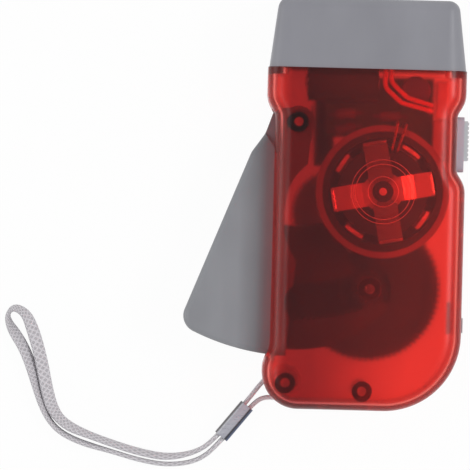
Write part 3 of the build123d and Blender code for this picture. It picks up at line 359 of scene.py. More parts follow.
@dataclass(frozen=True)
class Moulded:
    """Opaque moulded plastic with a fine grain, faint flow marks and, over a given span of X, painted
    shade.
    """

    name: str
    colour: Colour
    roughness: float = 0.42
    grain: float = 1500.0
    depth: float = 0.000012
    contrast: float = 0.08
    unevenness: float = 0.06
    painted_light_and_wear: Spot | None = None
    wear_and_shade_share: float = 0.8
    painted_shade_tint: Colour = (0.5, 0.47, 0.47)

    def make(self) -> bpy.types.Material:
        """Build the material, greyed by painted shade over the given span of X, if there is one.

        Returns:
            The material.
        """
        paint = Paint(self.name)
        dark = tuple(c * (1 - self.contrast) for c in self.colour)
        pale = tuple(c * (1 + self.contrast) for c in self.colour)
        flow = paint.noise(60.0, detail=4.0, stretch=(1.0, 0.35, 1.0))
        colour = paint.blend(flow, dark, pale)
        # Painted shade: the colour is multiplied greyer across the given span of X.
        if self.painted_light_and_wear is not None:
            painted_shade = paint.node("MixRGB", blend_type="MULTIPLY")
            share = paint.span(paint.axes()["X"], 0.0, self.wear_and_shade_share, *self.painted_light_and_wear)
            paint.link(share, painted_shade.inputs["Fac"])
            paint.link(colour, painted_shade.inputs["Color1"])
            painted_shade.inputs["Color2"].default_value = (*self.painted_shade_tint, 1.0)
            colour = painted_shade.outputs["Color"]
        low, high = self.roughness - self.unevenness, self.roughness + self.unevenness
        paint.set(Base_Color=colour, Specular_IOR_Level=0.45)
        paint.set(Roughness=paint.span(paint.noise(110.0, detail=5.0), low, high))
        paint.bump(paint.noise(self.grain), self.depth)
        return paint.material


@dataclass(frozen=True)
class Metal:
    """Worked metal with fine marks and a little tarnish."""

    name: str
    colour: Colour
    tarnish: Colour
    roughness: float = 0.28
    scale: float = 900.0
    depth: float = 0.000004
    smoother: float = 0.08
    rougher: float = 0.1

    def make(self) -> bpy.types.Material:
        """Build the material.

        Returns:
            The material.
        """
        paint = Paint(self.name)
        stain = paint.noise(160.0, detail=5.0)
        marks = paint.noise(self.scale)
        low, high = self.roughness - self.smoother, self.roughness + self.rougher
        paint.set(Base_Color=paint.blend(stain, self.tarnish, self.colour, end=0.6), Metallic=1.0)
        paint.set(Roughness=paint.span(marks, low, high))
        paint.bump(marks, self.depth)
        return paint.material


@dataclass(frozen=True)
class PaintedLightCross:
    """Pressed plate with fine brush marks, painted lighter on one pair of its four arms as painted light
    from the side lamps, and rougher there.
    """

    name: str
    bright: Colour
    shaded_zinc: Colour
    middle: Spot
    bearing: float
    lead: Spot = (-0.001, 0.002)
    wear_and_shade_share: float = 0.2
    dull_roughness: float = 0.24
    bright_roughness: float = 0.42
    brush_depth: float = 0.0000015

    def make(self) -> bpy.types.Material:
        """Build the material.

        Returns:
            The material.
        """
        paint = Paint(self.name)
        axes = paint.axes(self.middle, self.bearing)
        reach = [paint.maths("ABSOLUTE", axes[axis]) for axis in "XY"]
        # Painted light: arms along the bearing get the lit colour, the others the shaded colour; wear noise
        # is mixed in.
        share = paint.span(paint.maths("SUBTRACT", *reach), 0.0, 1.0, *self.lead)
        wear = paint.noise(220.0, detail=4.0)
        painted_light_and_wear = paint.maths("MULTIPLY_ADD", wear, self.wear_and_shade_share, share)
        rough = paint.span(share, self.dull_roughness, self.bright_roughness, start=0.0, end=1.0)
        colour = paint.blend(painted_light_and_wear, self.shaded_zinc, self.bright, start=0.1, end=1.0)
        paint.set(Base_Color=colour, Metallic=1.0, Roughness=rough)
        paint.bump(paint.noise(500.0, detail=2.0, stretch=(1.0, 8.0, 1.0)), self.brush_depth)
        return paint.material


@dataclass(frozen=True)
class PaintedReflectionChrome:
    """Bright plating whose colour holds a painted reflection: a dark band along each side of a slanting
    sleeve, with pale stripes between.
    """

    name: str
    middle: Spot
    bearing: float
    half: float
    near_edge_reflection: Colour = (0.10, 0.12, 0.20)
    far_edge_reflection: Colour = (0.10, 0.09, 0.10)
    reflection_bands: tuple[Spot, ...] = ((0.20, 0.14), (0.27, 0.93), (0.55, 0.97), (0.84, 0.9), (0.92, 0.2))
    blueness: float = 1.02
    smoothest: float = 0.26
    roughest: float = 0.36
    depth: float = 0.000003

    def make(self) -> bpy.types.Material:
        """Build the material.

        Returns:
            The material.
        """
        paint = Paint(self.name)
        across = paint.span(paint.axes(self.middle, self.bearing)["Y"], 0.0, 1.0, -self.half, self.half)
        inner = [(where, (shade, shade, shade * self.blueness)) for where, shade in self.reflection_bands]
        marks = paint.noise(700.0, stretch=(1.0, 6.0, 1.0))
        # Painted reflection: dark and pale stripes across the sleeve are set in the base colour.
        colour = paint.ramp(across, (0.0, self.near_edge_reflection), *inner, (1.0, self.far_edge_reflection))
        rough = paint.span(marks, self.smoothest, self.roughest)
        paint.set(Base_Color=colour, Metallic=1.0, Roughness=rough)
        paint.bump(marks, self.depth)
        return paint.material


@dataclass(frozen=True)
class Clear:
    """Clear moulded plastic."""

    name: str
    tint: Colour
    roughness: float = 0.04
    unevenness: float = 0.05
    dimming: float = 0.96

    def make(self) -> bpy.types.Material:
        """Build the material.

        Returns:
            The material.
        """
        paint = Paint(self.name)
        haze = paint.noise(180.0)
        dim = tuple(c * self.dimming for c in self.tint)
        paint.set(Base_Color=paint.blend(haze, dim, self.tint), Transmission_Weight=0.95, IOR=1.49)
        paint.set(Roughness=paint.span(haze, self.roughness, self.roughness + self.unevenness))
        paint.let_lamps_through(self.tint)
        return paint.material


@dataclass(frozen=True)
class Braid:
    """Flat braid on the strap's own map, whose U runs along it and V round it."""

    name: str
    light: Colour
    dark: Colour
    length: float
    around: float = 37.7
    plait: float = 0.0016
    plait_depth: float = 0.00012
    yarn_depth: float = 0.00003

    def make(self) -> bpy.types.Material:
        """Build the material, with a whole number of plaits along the strap.

        Returns:
            The material.
        """
        paint = Paint(self.name)
        along = round(self.length / self.plait) * 2 * math.pi
        split = paint.node("SeparateXYZ")
        paint.link(paint.node("TexCoord").outputs["UV"], split.inputs[0])
        crossing = []
        for slant in (1.0, -1.0):
            across = paint.maths("MULTIPLY", split.outputs["Y"], self.around * slant)
            phase = paint.maths("MULTIPLY_ADD", split.outputs["X"], along, across)
            crossing.append(paint.maths("SINE", phase))
        relief = paint.span(paint.maths("MAXIMUM", *crossing), 0.0, 1.0, start=-0.2, end=1.0)
        yarn = paint.noise(900.0, detail=4.0)
        # Painted shade: the braid is darker in the grooves between plaits, and flecked by the yarn.
        groove_shade_and_fleck = paint.maths("MULTIPLY", relief, paint.span(yarn, 0.55, 1.0, end=0.6))
        colour = paint.blend(groove_shade_and_fleck, self.dark, self.light, start=0.05, end=0.6)
        paint.set(Base_Color=colour, Roughness=0.75, Sheen_Weight=0.25, Sheen_Roughness=0.5)
        paint.set(Specular_IOR_Level=0.25)
        paint.bump(relief, self.plait_depth)
        paint.bump(yarn, self.yarn_depth)
        return paint.material


# ------------------------------------------------------------------ small mesh helpers
def placed(name: str, data: bpy.types.ID) -> bpy.types.Object:
    """Put an object for some data into the scene.

    Args:
        name: Name of the object.
        data: Its mesh, curve, camera or lamp.

    Returns:
        The new object, at the origin.
    """
    made = bpy.data.objects.new(name, data)
    bpy.context.scene.collection.objects.link(made)
    return made


def piece(name: str, mesh: bmesh.types.BMesh, smooth: bool = True) -> bpy.types.Object:
    """Turn a bmesh into an object of the scene.

    Args:
        name: Name of the object.
        mesh: Its bmesh, which is freed.
        smooth: Shade the faces smooth.

    Returns:
        The new object, at the origin.
    """
    data = bpy.data.meshes.new(name)
    mesh.to_mesh(data)
    mesh.free()
    for polygon in data.polygons:
        polygon.use_smooth = smooth
    return placed(name, data)


def extruded(name: str, outline: tuple[Spot, ...], low: float, high: float,
             edge: float) -> bpy.types.Object:
    """Raise a flat outline to a solid.

    Args:
        name: Name of the object.
        outline: Corners in millimetres, anticlockwise from above.
        low: Height of the underside in millimetres.
        high: Height of the top in millimetres.
        edge: Width of the rounded edges in millimetres.

    Returns:
        The new object.
    """
    mesh = bmesh.new()
    corners = [mesh.verts.new((x * MM, y * MM, low * MM)) for x, y in outline]
    base = mesh.faces.new(corners)
    lifted = bmesh.ops.extrude_face_region(mesh, geom=[base])
    top = [part for part in lifted["geom"] if isinstance(part, bmesh.types.BMVert)]
    bmesh.ops.translate(mesh, verts=top, vec=(0, 0, (high - low) * MM))
    bmesh.ops.bevel(mesh, geom=mesh.edges[:], offset=edge * MM, segments=3, affect="EDGES", profile=0.5)
    bmesh.ops.recalc_face_normals(mesh, faces=mesh.faces[:])
    return piece(name, mesh, smooth=False)


def swept(name: str, path: list[Point], radius: float, closed: bool, sides: int = 12,
          squash: float = 1.0) -> bpy.types.Object:
    """Sweep a round section along a path.

    Args:
        name: Name of the object.
        path: Points in millimetres.
        radius: Radius of the section in millimetres.
        closed: Join the end to the start.
        sides: Sides of the section.
        squash: Height of the section over its width.

    Returns:
        The new object.
    """
    mesh = bmesh.new()
    rings = []
    for n, spot in enumerate(path):
        back = path[n - 1] if n or closed else spot
        ahead = path[(n + 1) % len(path)] if n + 1 < len(path) or closed else spot
        heading = (Vector(ahead) - Vector(back)).normalized()
        side = heading.cross(Vector((0, 0, 1))).normalized()
        lift = side.cross(heading) * squash
        rings.append([
            mesh.verts.new((Vector(spot) + (side * math.cos(turn) + lift * math.sin(turn)) * radius) * MM)
            for turn in (2 * math.pi * k / sides for k in range(sides))
        ])
    for n in range(len(rings) if closed else len(rings) - 1):
        here, there = rings[n], rings[(n + 1) % len(rings)]
        for k in range(sides):
            mesh.faces.new((here[k], here[(k + 1) % sides], there[(k + 1) % sides], there[k]))
    if not closed:
        mesh.faces.new(rings[0])
        mesh.faces.new(rings[-1])
    bmesh.ops.recalc_face_normals(mesh, faces=mesh.faces[:])
    return piece(name, mesh)


def circle(centre: Spot, radius: float, height: float, steps: int = 72) -> list[Point]:
    """Points of a level circle.

    Args:
        centre: Middle of the circle.
        radius: Its radius, in the units of the centre.
        height: Height of all its points.
        steps: Number of points.

    Returns:
        The points, anticlockwise from above.
    """
    return [
        (centre[0] + radius * math.cos(turn), centre[1] + radius * math.sin(turn), height)
        for turn in (2 * math.pi * n / steps for n in range(steps))
    ]


def dress(target: bpy.types.Object, material: bpy.types.Material) -> None:
    """Give an object one material in all its slots.

    Args:
        target: The object.
        material: What all of it gets.
    """
    if not target.material_slots:
        target.data.materials.append(material)
    for place in target.material_slots:
        place.material = material


def dress_nodes(frame: dict, finish: Finish, *names: str) -> None:
    """Dress nodes of the frame with one finish.

    Args:
        frame: The loaded frame.
        finish: Settings of the material that they share.
        names: The nodes.
    """
    material = finish.make()
    for name in names:
        dress(frame["nodes"][name], material)


# ------------------------------------------------------------------ strap
FERRULE_Z = 0.0026
RISING_Z = 0.0036
POST_Z = 0.0044


class Lean(Enum):
    """How far a ply of the strap leans from standing on edge, in degrees."""

    ON_EDGE = 0.0
    NUDGED_BACK = -16.0
    TIPPED_BACK = -32.0
    LAID_BACK = -50.0
    NUDGED = 8.0
    TIPPED = 18.0
    LEANING = 40.0


@dataclass(frozen=True)
class RoutePoint:
    """A point of a strap's route, which rests on the floor where no height is given."""

    x: float
    y: float
    lean: Lean = Lean.ON_EDGE
    z: float | None = None


@dataclass
class WristStrap:
    """Flat braided strap: the wrist loop, the short loop in the case and its ferrule."""

    width: float = 0.004
    thick: float = 0.0012
    floor_gap: float = 0.00005
    steps: int = 12
    profile_points: int = 16
    braid_light: Colour = (0.72, 0.695, 0.73)
    braid_dark: Colour = (0.50, 0.48, 0.51)

    WRIST = (
        RoutePoint(-0.03304, -0.05764, z=FERRULE_Z),
        RoutePoint(-0.03698, -0.06255, z=FERRULE_Z),
        RoutePoint(-0.0416, -0.0665),
        RoutePoint(-0.0495, -0.06835, Lean.NUDGED_BACK),
        RoutePoint(-0.0575, -0.0670, Lean.NUDGED_BACK),
        RoutePoint(-0.0651, -0.06475, Lean.NUDGED_BACK),
        RoutePoint(-0.0706, -0.0629, Lean.NUDGED_BACK),
        RoutePoint(-0.0758, -0.0609, Lean.TIPPED_BACK),
        RoutePoint(-0.0789, -0.0585, Lean.TIPPED_BACK),
        RoutePoint(-0.0809, -0.0554, Lean.LAID_BACK),
        RoutePoint(-0.0821, -0.0513, Lean.LAID_BACK),
        RoutePoint(-0.0832, -0.0460, Lean.LAID_BACK),
        RoutePoint(-0.0845, -0.0408, Lean.LAID_BACK),
        RoutePoint(-0.0862, -0.0355, Lean.LAID_BACK),
        RoutePoint(-0.0881, -0.0311, Lean.TIPPED_BACK),
        RoutePoint(-0.0913, -0.0294, Lean.NUDGED_BACK),
        RoutePoint(-0.0931, -0.0313),
        RoutePoint(-0.0926, -0.0338, Lean.TIPPED),
        RoutePoint(-0.0911, -0.0362, Lean.LEANING),
        RoutePoint(-0.0887, -0.0398, Lean.LEANING),
        RoutePoint(-0.0868, -0.0440, Lean.LEANING),
        RoutePoint(-0.0854, -0.0480, Lean.LEANING),
        RoutePoint(-0.0846, -0.0517, Lean.TIPPED),
        RoutePoint(-0.0833, -0.0552, Lean.TIPPED),
        RoutePoint(-0.0816, -0.0589, Lean.NUDGED),
        RoutePoint(-0.0788, -0.0620, Lean.NUDGED),
        RoutePoint(-0.0746, -0.0642, Lean.NUDGED),
        RoutePoint(-0.0698, -0.06575, Lean.NUDGED),
        RoutePoint(-0.0650, -0.06695),
        RoutePoint(-0.0575, -0.0691),
        RoutePoint(-0.0495, -0.07035),
        RoutePoint(-0.0412, -0.0689),
        RoutePoint(-0.03573, -0.06355, z=FERRULE_Z),
        RoutePoint(-0.03179, -0.05864, z=FERRULE_Z),
    )

    TETHER = (
        RoutePoint(-0.03154, -0.05832, z=FERRULE_Z),
        RoutePoint(-0.02745, -0.05320, z=FERRULE_Z),
        RoutePoint(-0.02430, -0.05140, z=RISING_Z),
        RoutePoint(-0.02019, -0.05189, z=POST_Z),
        RoutePoint(-0.01451, -0.04779, z=POST_Z),
        RoutePoint(-0.01861, -0.04211, z=POST_Z),
        RoutePoint(-0.02429, -0.04621, z=POST_Z),
        RoutePoint(-0.02910, -0.05272, z=FERRULE_Z),
        RoutePoint(-0.03279, -0.05732, z=FERRULE_Z),
    )

    def route(self, name: str, points: tuple[RoutePoint, ...]) -> bpy.types.Object:
        """Lay a smooth line through a route's control points.

        Args:
            name: Name of the curve.
            points: Its control points in the order of the strap.

        Returns:
            The curve object, with no thickness yet.
        """
        curve = bpy.data.curves.new(name, "CURVE")
        curve.dimensions = "3D"
        curve.twist_mode = "Z_UP"
        curve.resolution_u = self.steps
        spline = curve.splines.new("NURBS")
        spline.points.add(len(points) - 1)
        for control, point in zip(spline.points, points):
            lean = math.radians(point.lean.value)
            rest = self.width / 2 * math.cos(lean) + self.thick / 2 * abs(math.sin(lean)) + self.floor_gap
            control.co = (point.x, point.y, rest if point.z is None else point.z, 1.0)
            control.tilt = lean
        spline.order_u = 3
        spline.use_endpoint_u = True
        return placed(name, curve)

    def profile(self) -> bpy.types.Object:
        """Draw the closed flat outline of one ply.

        Returns:
            The curve object that bevels a route.
        """
        curve = bpy.data.curves.new("ply.profile", "CURVE")
        curve.dimensions = "2D"
        spline = curve.splines.new("NURBS")
        spline.points.add(self.profile_points - 1)
        for n, control in enumerate(spline.points):
            turn = 2 * math.pi * n / self.profile_points
            flat = 1.0 / max(abs(math.cos(turn)), abs(math.sin(turn)))
            reach = 0.5 + 0.5 * flat
            control.co = (
                self.thick / 2 * math.cos(turn) * reach, self.width / 2 * math.sin(turn) * reach, 0, 1
            )
        spline.use_cyclic_u = True
        spline.order_u = 3
        spline.resolution_u = 2
        return placed("ply.profile", curve)

    def ply(self, name: str, points: tuple[RoutePoint, ...]) -> tuple[bpy.types.Object, list[Point]]:
        """Make one strap as a mesh tube along its route.

        Args:
            name: Name of the piece.
            points: Control points of the route.

        Returns:
            The piece, and the points that it follows.
        """
        line = self.route(name + ".route", points)
        bpy.context.view_layer.update()
        depsgraph = bpy.context.evaluated_depsgraph_get()
        bare = bpy.data.meshes.new_from_object(line.evaluated_get(depsgraph))
        path = [tuple(vertex.co) for vertex in bare.vertices]
        bpy.data.meshes.remove(bare)
        outline = self.profile()
        line.data.bevel_mode = "OBJECT"
        line.data.bevel_object = outline
        line.data.use_fill_caps = True
        bpy.context.view_layer.update()
        depsgraph = bpy.context.evaluated_depsgraph_get()
        data = bpy.data.meshes.new_from_object(line.evaluated_get(depsgraph))
        data.name = name
        made = placed(name, data)
        for polygon in data.polygons:
            polygon.use_smooth = True
        bpy.data.objects.remove(line)
        bpy.data.objects.remove(outline)
        LOG.info("%s: %d points on its path, uv maps %s", name, len(path), [u.name for u in data.uv_layers])
        return made, path

    def braided(self, made: bpy.types.Object, path: list[Point]) -> float:
        """Dress a strap in braid.

        Args:
            made: The strap.
            path: The points that it follows.

        Returns:
            Its length in metres.
        """
        length = sum(math.dist(a, b) for a, b in zip(path, path[1:]))
        LOG.info("%s measures %.4f m", made.name, length)
        dress(made, Braid("strap_braid", self.braid_light, self.braid_dark, length).make())
        return length

    def build(self, frame: dict) -> None:
        """Args:
            frame: The loaded frame.
        """
        wrist, path = self.ply("wrist_loop", self.WRIST)
        length = self.braided(wrist, path)
        tether, tether_path = self.ply("corner_loop", self.TETHER)
        reach = self.braided(tether, tether_path)
        chrome = PaintedReflectionChrome("ferrule_chrome", middle=(-0.0324, -0.0581), bearing=50.8, half=0.0019)
        dress_nodes(frame, chrome, "strap_ferrule")
        for made, node in ((wrist, "wrist_strap"), (tether, "strap_tether")):
            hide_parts(node)
            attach(made, "case")


# ------------------------------------------------------------------ the rigid pieces
FLYWHEEL = (4.70, 3.20)
ARM_TURN = 10.8


@dataclass
class Case:
    """Both see-through covers and their screws."""

    # Painted shade and painted light: both covers run from the shaded red on the lever side to the lit red
    # on the switch side.
    shaded_tint: Colour = (0.54, 0.085, 0.085)
    lit_tint: Colour = (0.90, 0.16, 0.13)

    def build(self, frame: dict) -> None:
        """Dress the covers and the screws.

        Args:
            frame: The loaded frame.
        """
        dress_nodes(frame, TintedShell("front_shell", self.shaded_tint, self.lit_tint), "front_cover")
        dress_nodes(frame, TintedShell("back_shell", self.shaded_tint, self.lit_tint), "back_cover")
        zinc = Metal("screw_zinc", (0.62, 0.60, 0.56), (0.45, 0.43, 0.40), roughness=0.45)
        dress_nodes(frame, zinc, "case_screws")


@dataclass
class LampHead:
    """Grey cap, lens, reflector, lamps and their board."""

    grey: Colour = (0.27, 0.27, 0.30)

    def build(self, frame: dict) -> None:
        """Dress the head's nodes.

        Args:
            frame: The loaded frame.
        """
        mirror = Metal("reflector_bright", (0.85, 0.86, 0.88), (0.8, 0.81, 0.83), roughness=0.08)
        dress_nodes(frame, Moulded("head_plastic", self.grey), "head_bezel")
        dress_nodes(frame, Clear("lens_clear", (0.95, 0.96, 0.97)), "head_lens")
        dress_nodes(frame, mirror, "reflector")
        dress_nodes(frame, Clear("lamp_resin", (0.93, 0.95, 0.98)), "led_lamps")
        dress_nodes(frame, Moulded("lamp_board", (0.07, 0.24, 0.10), roughness=0.35), "led_board")


@dataclass
class Lever:
    """Grip, its rack and its spring."""

    grey: Colour = (0.26, 0.265, 0.285)
    # Painted shade on the grip next to the case.
    shaded_by_case: Spot = (-0.0325, -0.0265)

    def build(self, frame: dict) -> None:
        """Dress the lever's nodes.

        Args:
            frame: The loaded frame.
        """
        grip = Moulded("lever_plastic", self.grey, contrast=0.11, painted_light_and_wear=self.shaded_by_case)
        dress_nodes(frame, grip, "squeeze_lever")
        dress_nodes(frame, Moulded("rack_nylon", (0.05, 0.05, 0.055)), "lever_rack")
        dress_nodes(frame, Metal("spring_wire", (0.45, 0.45, 0.46), (0.3, 0.3, 0.3)), "return_spring")


@dataclass
class Dynamo:
    """Gear train, flywheel and stator."""

    middle: Spot = (FLYWHEEL[0] * MM, FLYWHEEL[1] * MM)

    def build(self, frame: dict) -> None:
        """Dress the moving parts and the stator.

        Args:
            frame: The loaded frame.
        """
        # The blue cast in the gears' black is a painted reflection of the room.
        black = Moulded("gear_black", (0.032, 0.045, 0.075))
        steel = Metal("axle_steel", (0.6, 0.6, 0.62), (0.5, 0.5, 0.52), roughness=0.2)
        zinc = PaintedLightCross("claw_zinc", (0.74, 0.72, 0.69), (0.56, 0.54, 0.51), self.middle, ARM_TURN)
        tabs = Metal("tab_zinc", (0.9, 0.88, 0.85), (0.74, 0.72, 0.68), roughness=0.42)
        # Painted highlight: the shaft is a near-white copy of the axle steel, lighting the dot at the hub's
        # middle.
        shaft = Metal("shaft_highlight_steel", (0.97, 0.97, 0.97), (0.9, 0.9, 0.9), roughness=0.5)
        brass = Metal("pinion_brass", (0.75, 0.56, 0.25), (0.5, 0.36, 0.14))
        ferrite = Moulded("magnet_ferrite", (0.035, 0.032, 0.035), roughness=0.55)
        copper = Metal("coil_copper", (0.62, 0.27, 0.12), (0.45, 0.18, 0.08))
        dress_nodes(frame, black, "drive_gear", "ratchet_pinion", "stator_hub", "coil_bobbin")
        dress_nodes(frame, Moulded("gear_white", (0.6, 0.58, 0.52)), "idler_gear")
        dress_nodes(frame, steel, "drive_axle", "idler_axle")
        dress_nodes(frame, shaft, "flywheel_shaft")
        dress_nodes(frame, zinc, "stator_front_plate")
        dress_nodes(frame, tabs, "stator_rear_plate")
        dress_nodes(frame, Moulded("flywheel_nylon", (0.32, 0.26, 0.28)), "flywheel_cup")
        dress_nodes(frame, brass, "flywheel_pinion")
        dress_nodes(frame, ferrite, "ring_magnet")
        dress_nodes(frame, copper, "coil_winding")


@dataclass
class Electrics:
    """Board, cells, capacitor, diodes and wires."""

    nickel: Colour = (0.68, 0.68, 0.68)
    dull_nickel: Colour = (0.5, 0.5, 0.5)

    def build(self, frame: dict) -> None:
        """Dress the electrical nodes.

        Args:
            frame: The loaded frame.
        """
        diode = Moulded("diode_black", (0.22, 0.17, 0.15), roughness=0.2)
        can = Moulded("capacitor_sleeve", (0.12, 0.07, 0.2), roughness=0.3)
        copper = Metal("coil_lead", (0.62, 0.27, 0.12), (0.45, 0.18, 0.08))
        dress_nodes(frame, Moulded("board_green", (0.07, 0.24, 0.10), roughness=0.35), "circuit_board")
        dress_nodes(frame, diode, "rectifier_diodes")
        dress_nodes(frame, can, "storage_capacitor")
        dress_nodes(frame, Metal("cell_nickel", self.nickel, self.dull_nickel), "battery_cells")
        dress_nodes(frame, Moulded("cell_sleeve", (0.05, 0.12, 0.07), roughness=0.3), "battery_sleeve")
        dress_nodes(frame, Metal("tab_nickel", self.nickel, self.dull_nickel), "battery_tabs")
        dress_nodes(frame, Moulded("wire_red", (0.86, 0.20, 0.16), roughness=0.35), "led_wires")
        dress_nodes(frame, copper, "coil_wires")


@dataclass
class Controls:
    """Slide switch and lever lock."""

    def build(self, frame: dict) -> None:
        """Dress the controls.

        Args:
            frame: The loaded frame.
        """
        dress_nodes(frame, Moulded("switch_white", (0.62, 0.60, 0.60)), "switch_body")
        dress_nodes(frame, Moulded("guard_plastic", (0.50, 0.52, 0.60)), "switch_guard")
        dress_nodes(frame, Moulded("knob_plastic", (0.56, 0.57, 0.58)), "switch_knob")
        dress_nodes(frame, Moulded("lock_plastic", (0.27, 0.27, 0.30)), "lock_slider")


@dataclass
class InnerTrim:
    """Small fixed pieces that the frame lacks and the photograph shows through the case.

    Sizes are in millimetres, angles in degrees; bend_grain alone is in metres, as the shaders are.
    """

    flywheel: Spot = FLYWHEEL
    arms: int = 4
    arm_turn: float = ARM_TURN
    arm_width: float = 6.3
    arm_top: float = 24.03
    bend_from_middle: float = 12.9
    bend_share: float = 0.97
    bend_radius: float = 0.45
    bend_squash: float = 0.55
    bend_steps: int = 8
    bend_grain: float = 0.000001
    ring_radii: tuple[float, ...] = (3.9, 7.2, 8.3)
    ring_height: float = 26.22
    ring_thickness: float = 0.11
    card_heights: Spot = (1.85, 2.15)
    card_edge: float = 0.08
    upper_card: tuple[Spot, ...] = ((-13.2, 9.8), (-8.0, 9.8), (-8.0, 37.0), (-13.2, 37.0))
    lower_card: tuple[Spot, ...] = (
        (-20.4, -37.0), (-14.0, -37.0), (-14.0, -12.0), (-17.8, -12.0), (-20.4, -16.0),
    )
    anchor: tuple[Spot, ...] = ((18.3, 22.8), (21.6, 22.8), (21.6, 32.6), (18.3, 32.6))
    anchor_heights: Spot = (8.1, 14.0)
    anchor_edge: float = 0.5

    def fixed(self, made: bpy.types.Object, material: bpy.types.Material) -> None:
        """Dress a piece and fix it to the case.

        Args:
            made: The piece.
            material: What it is dressed with.
        """
        dress(made, material)
        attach(made, "case")

    def blocks(self) -> None:
        """Make the two cards on the back cover's floor and the wire anchor."""
        black = Moulded("card_black", (0.03, 0.03, 0.032), roughness=0.7).make()
        for name, outline in (("floor_card_upper", self.upper_card), ("floor_card_lower", self.lower_card)):
            card = extruded(name, outline, *self.card_heights, self.card_edge)
            self.fixed(card, black)
        white = Moulded("anchor_nylon", (0.92, 0.92, 0.92)).make()
        anchor = extruded("wire_anchor", self.anchor, *self.anchor_heights, self.anchor_edge)
        self.fixed(anchor, white)

    def bends(self) -> None:
        """Make the ridge over the bent end of each stator arm, with painted light: every other arm gets a
        lighter copy of the zinc.
        """
        grain = self.bend_grain
        shaded_zinc = Metal("bend_shaded_zinc", (0.6, 0.58, 0.55), (0.5, 0.48, 0.45), roughness=0.35, depth=grain)
        bright = Metal("bend_lit_zinc", (0.95, 0.94, 0.92), (0.84, 0.83, 0.80), roughness=0.3, depth=grain)
        # Painted light: the arms facing the side lamps get the lighter copy, the others a shaded copy.
        materials = (bright.make(), shaded_zinc.make())
        width = self.arm_width * self.bend_share
        for n in range(self.arms):
            turn = math.radians(self.arm_turn + 360 / self.arms * n)
            out = Vector((math.cos(turn), math.sin(turn), 0))
            along = Vector((-out.y, out.x, 0))
            middle = Vector((*self.flywheel, self.arm_top)) + out * self.bend_from_middle
            shares = [k / self.bend_steps - 0.5 for k in range(self.bend_steps + 1)]
            path = [tuple(middle + along * width * share) for share in shares]
            bend = swept("claw_bend_%d" % n, path, self.bend_radius, closed=False, squash=self.bend_squash)
            self.fixed(bend, materials[n % 2])

    def rings(self) -> None:
        """Make the rings that are moulded into the roof over the flywheel, tinted paler than the shell as a
        painted highlight.
        """
        ring_highlight = TintedShell(
            "roof_ring_highlight", (0.9, 0.34, 0.29), (0.95, 0.42, 0.36), roughness=0.3, transmission=0.65
        ).make()
        for radius in self.ring_radii:
            path = circle(self.flywheel, radius, self.ring_height)
            name = "roof_ring_%d" % round(radius * 10)
            ring = swept(name, path, self.ring_thickness, closed=True, sides=8)
            self.fixed(ring, ring_highlight)

    def build(self, frame: dict) -> None:
        """Make all the trim.

        Args:
            frame: The loaded frame, which is not used; its nodes stay as they are.
        """
        self.blocks()
        self.bends()
        self.rings()


# ------------------------------------------------------------------ studio
@dataclass(frozen=True)
class SoftLamp:
    """A square soft lamp: where it hangs, the side of its square and its power in watts."""

    name: str
    place: Point
    size: float
    watts: float


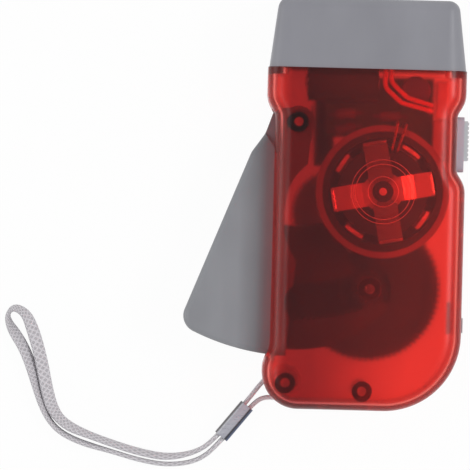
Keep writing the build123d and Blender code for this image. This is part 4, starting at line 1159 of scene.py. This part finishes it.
@dataclass
class Studio:
    """Floor, lamps, world and camera."""

    pixel: float = 0.000262
    pixels: int = 470
    sensor: float = 36.0
    middle: Spot = (-0.03344, -0.0090)
    focus_z: float = 0.014
    distance: float = 1.25
    roll: float = 1.5
    nearest: float = 0.05
    farthest: float = 20.0
    floor_half: float = 3.0
    floor_z: float = -0.0002
    floor_white: float = 0.965
    sky: float = 0.55
    room_top: Colour = (0.3, 0.3, 0.34)
    aim: Point = (0.0, 0.0, 0.01)
    lamps: tuple[SoftLamp, ...] = (
        SoftLamp("key_lamp", (0.66, 0.12, 0.95), 0.36, 4.6),
        SoftLamp("fill_lamp", (-0.66, -0.10, 0.95), 0.36, 1.3),
        SoftLamp("side_lamp", (-0.95, 0.0, 0.22), 0.4, 1.2),
    )

    def camera(self) -> None:
        """Put the camera over the torch, looking straight down with a slight roll."""
        data = bpy.data.cameras.new("camera")
        data.sensor_width = self.sensor
        data.lens = self.sensor * self.distance / (self.pixel * self.pixels)
        data.clip_start = self.nearest
        data.clip_end = self.farthest
        made = placed("camera", data)
        made.location = (*self.middle, self.focus_z + self.distance)
        made.rotation_euler = (0, 0, math.radians(self.roll))
        bpy.context.scene.camera = made

    def floor(self) -> None:
        """Lay a pale floor, just under the case, that reads white and keeps a light shadow."""
        mesh = bmesh.new()
        sunk = Matrix.Translation((0, 0, self.floor_z))
        bmesh.ops.create_grid(mesh, x_segments=1, y_segments=1, size=self.floor_half, matrix=sunk)
        made = piece("floor", mesh, smooth=False)
        paint = Paint("floor_white")
        pale = paint.blend(paint.noise(300.0, detail=2.0), (0.80, 0.80, 0.80), (0.83, 0.83, 0.83))
        paint.set(Base_Color=pale, Roughness=0.9, Specular_IOR_Level=0.1)
        glow = paint.node("Emission")
        glow.inputs["Strength"].default_value = 1.0
        path = paint.node("LightPath").outputs
        seen = paint.maths("MAXIMUM", path["Is Camera Ray"], path["Is Glossy Ray"])
        seen = paint.maths("MAXIMUM", seen, path["Is Transmission Ray"])
        share = paint.maths("MULTIPLY", seen, self.floor_white)
        shown = paint.mixed(share, paint.shader.outputs["BSDF"], glow.outputs["Emission"])
        paint.link(shown, paint.output.inputs["Surface"])
        dress(made, paint.material)

    def world(self) -> None:
        """Give even light from all round, seen as white, with a dimmer ceiling in mirrors."""
        world = bpy.data.worlds.new("studio")
        bpy.context.scene.world = world
        world.use_nodes = True
        sky = NodeTree(world.node_tree)
        light = sky.tree.nodes["Background"]
        light.inputs["Color"].default_value = (1.0, 1.0, 1.0, 1.0)
        light.inputs["Strength"].default_value = self.sky
        white = sky.node("Background")
        white.inputs["Strength"].default_value = 1.0
        path = sky.node("LightPath").outputs
        seen = sky.maths("MAXIMUM", path["Is Camera Ray"], path["Is Transmission Ray"])
        lit = sky.mixed(seen, light.outputs[0], white.outputs[0])
        split = sky.node("SeparateXYZ")
        sky.link(sky.node("TexCoord").outputs["Generated"], split.inputs[0])
        shade = sky.ramp(split.outputs["Z"], (0.25, (1.0, 1.0, 1.0)), (0.8, self.room_top))
        room = sky.node("Background")
        sky.link(shade, room.inputs["Color"])
        whole = sky.mixed(path["Is Glossy Ray"], lit, room.outputs[0])
        sky.link(whole, sky.tree.nodes["World Output"].inputs["Surface"])

    def light(self, lamp: SoftLamp) -> None:
        """Hang a lamp and aim it at the torch.

        Args:
            lamp: Its settings.
        """
        data = bpy.data.lights.new(lamp.name, "AREA")
        data.size = lamp.size
        data.energy = lamp.watts
        made = placed(lamp.name, data)
        made.location = lamp.place
        heading = Vector(self.aim) - Vector(lamp.place)
        made.rotation_euler = heading.to_track_quat("-Z", "Y").to_euler()

    def build(self) -> None:
        """Set up the whole studio."""
        self.camera()
        self.floor()
        self.world()
        for lamp in self.lamps:
            self.light(lamp)
        bpy.context.scene.view_settings.view_transform = "Standard"


def main() -> None:
    """Load the frame, build each sub-assembly and report it."""
    logging.basicConfig(level=logging.INFO, format="%(name)s: %(message)s")
    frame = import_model()
    Studio().build()
    for part in (WristStrap(), Case(), LampHead(), Lever(), Dynamo(), Electrics(), Controls(), InnerTrim()):
        part.build(frame)
        LOG.info("built %s", type(part).__name__)


if __name__ == "__main__":
    main()
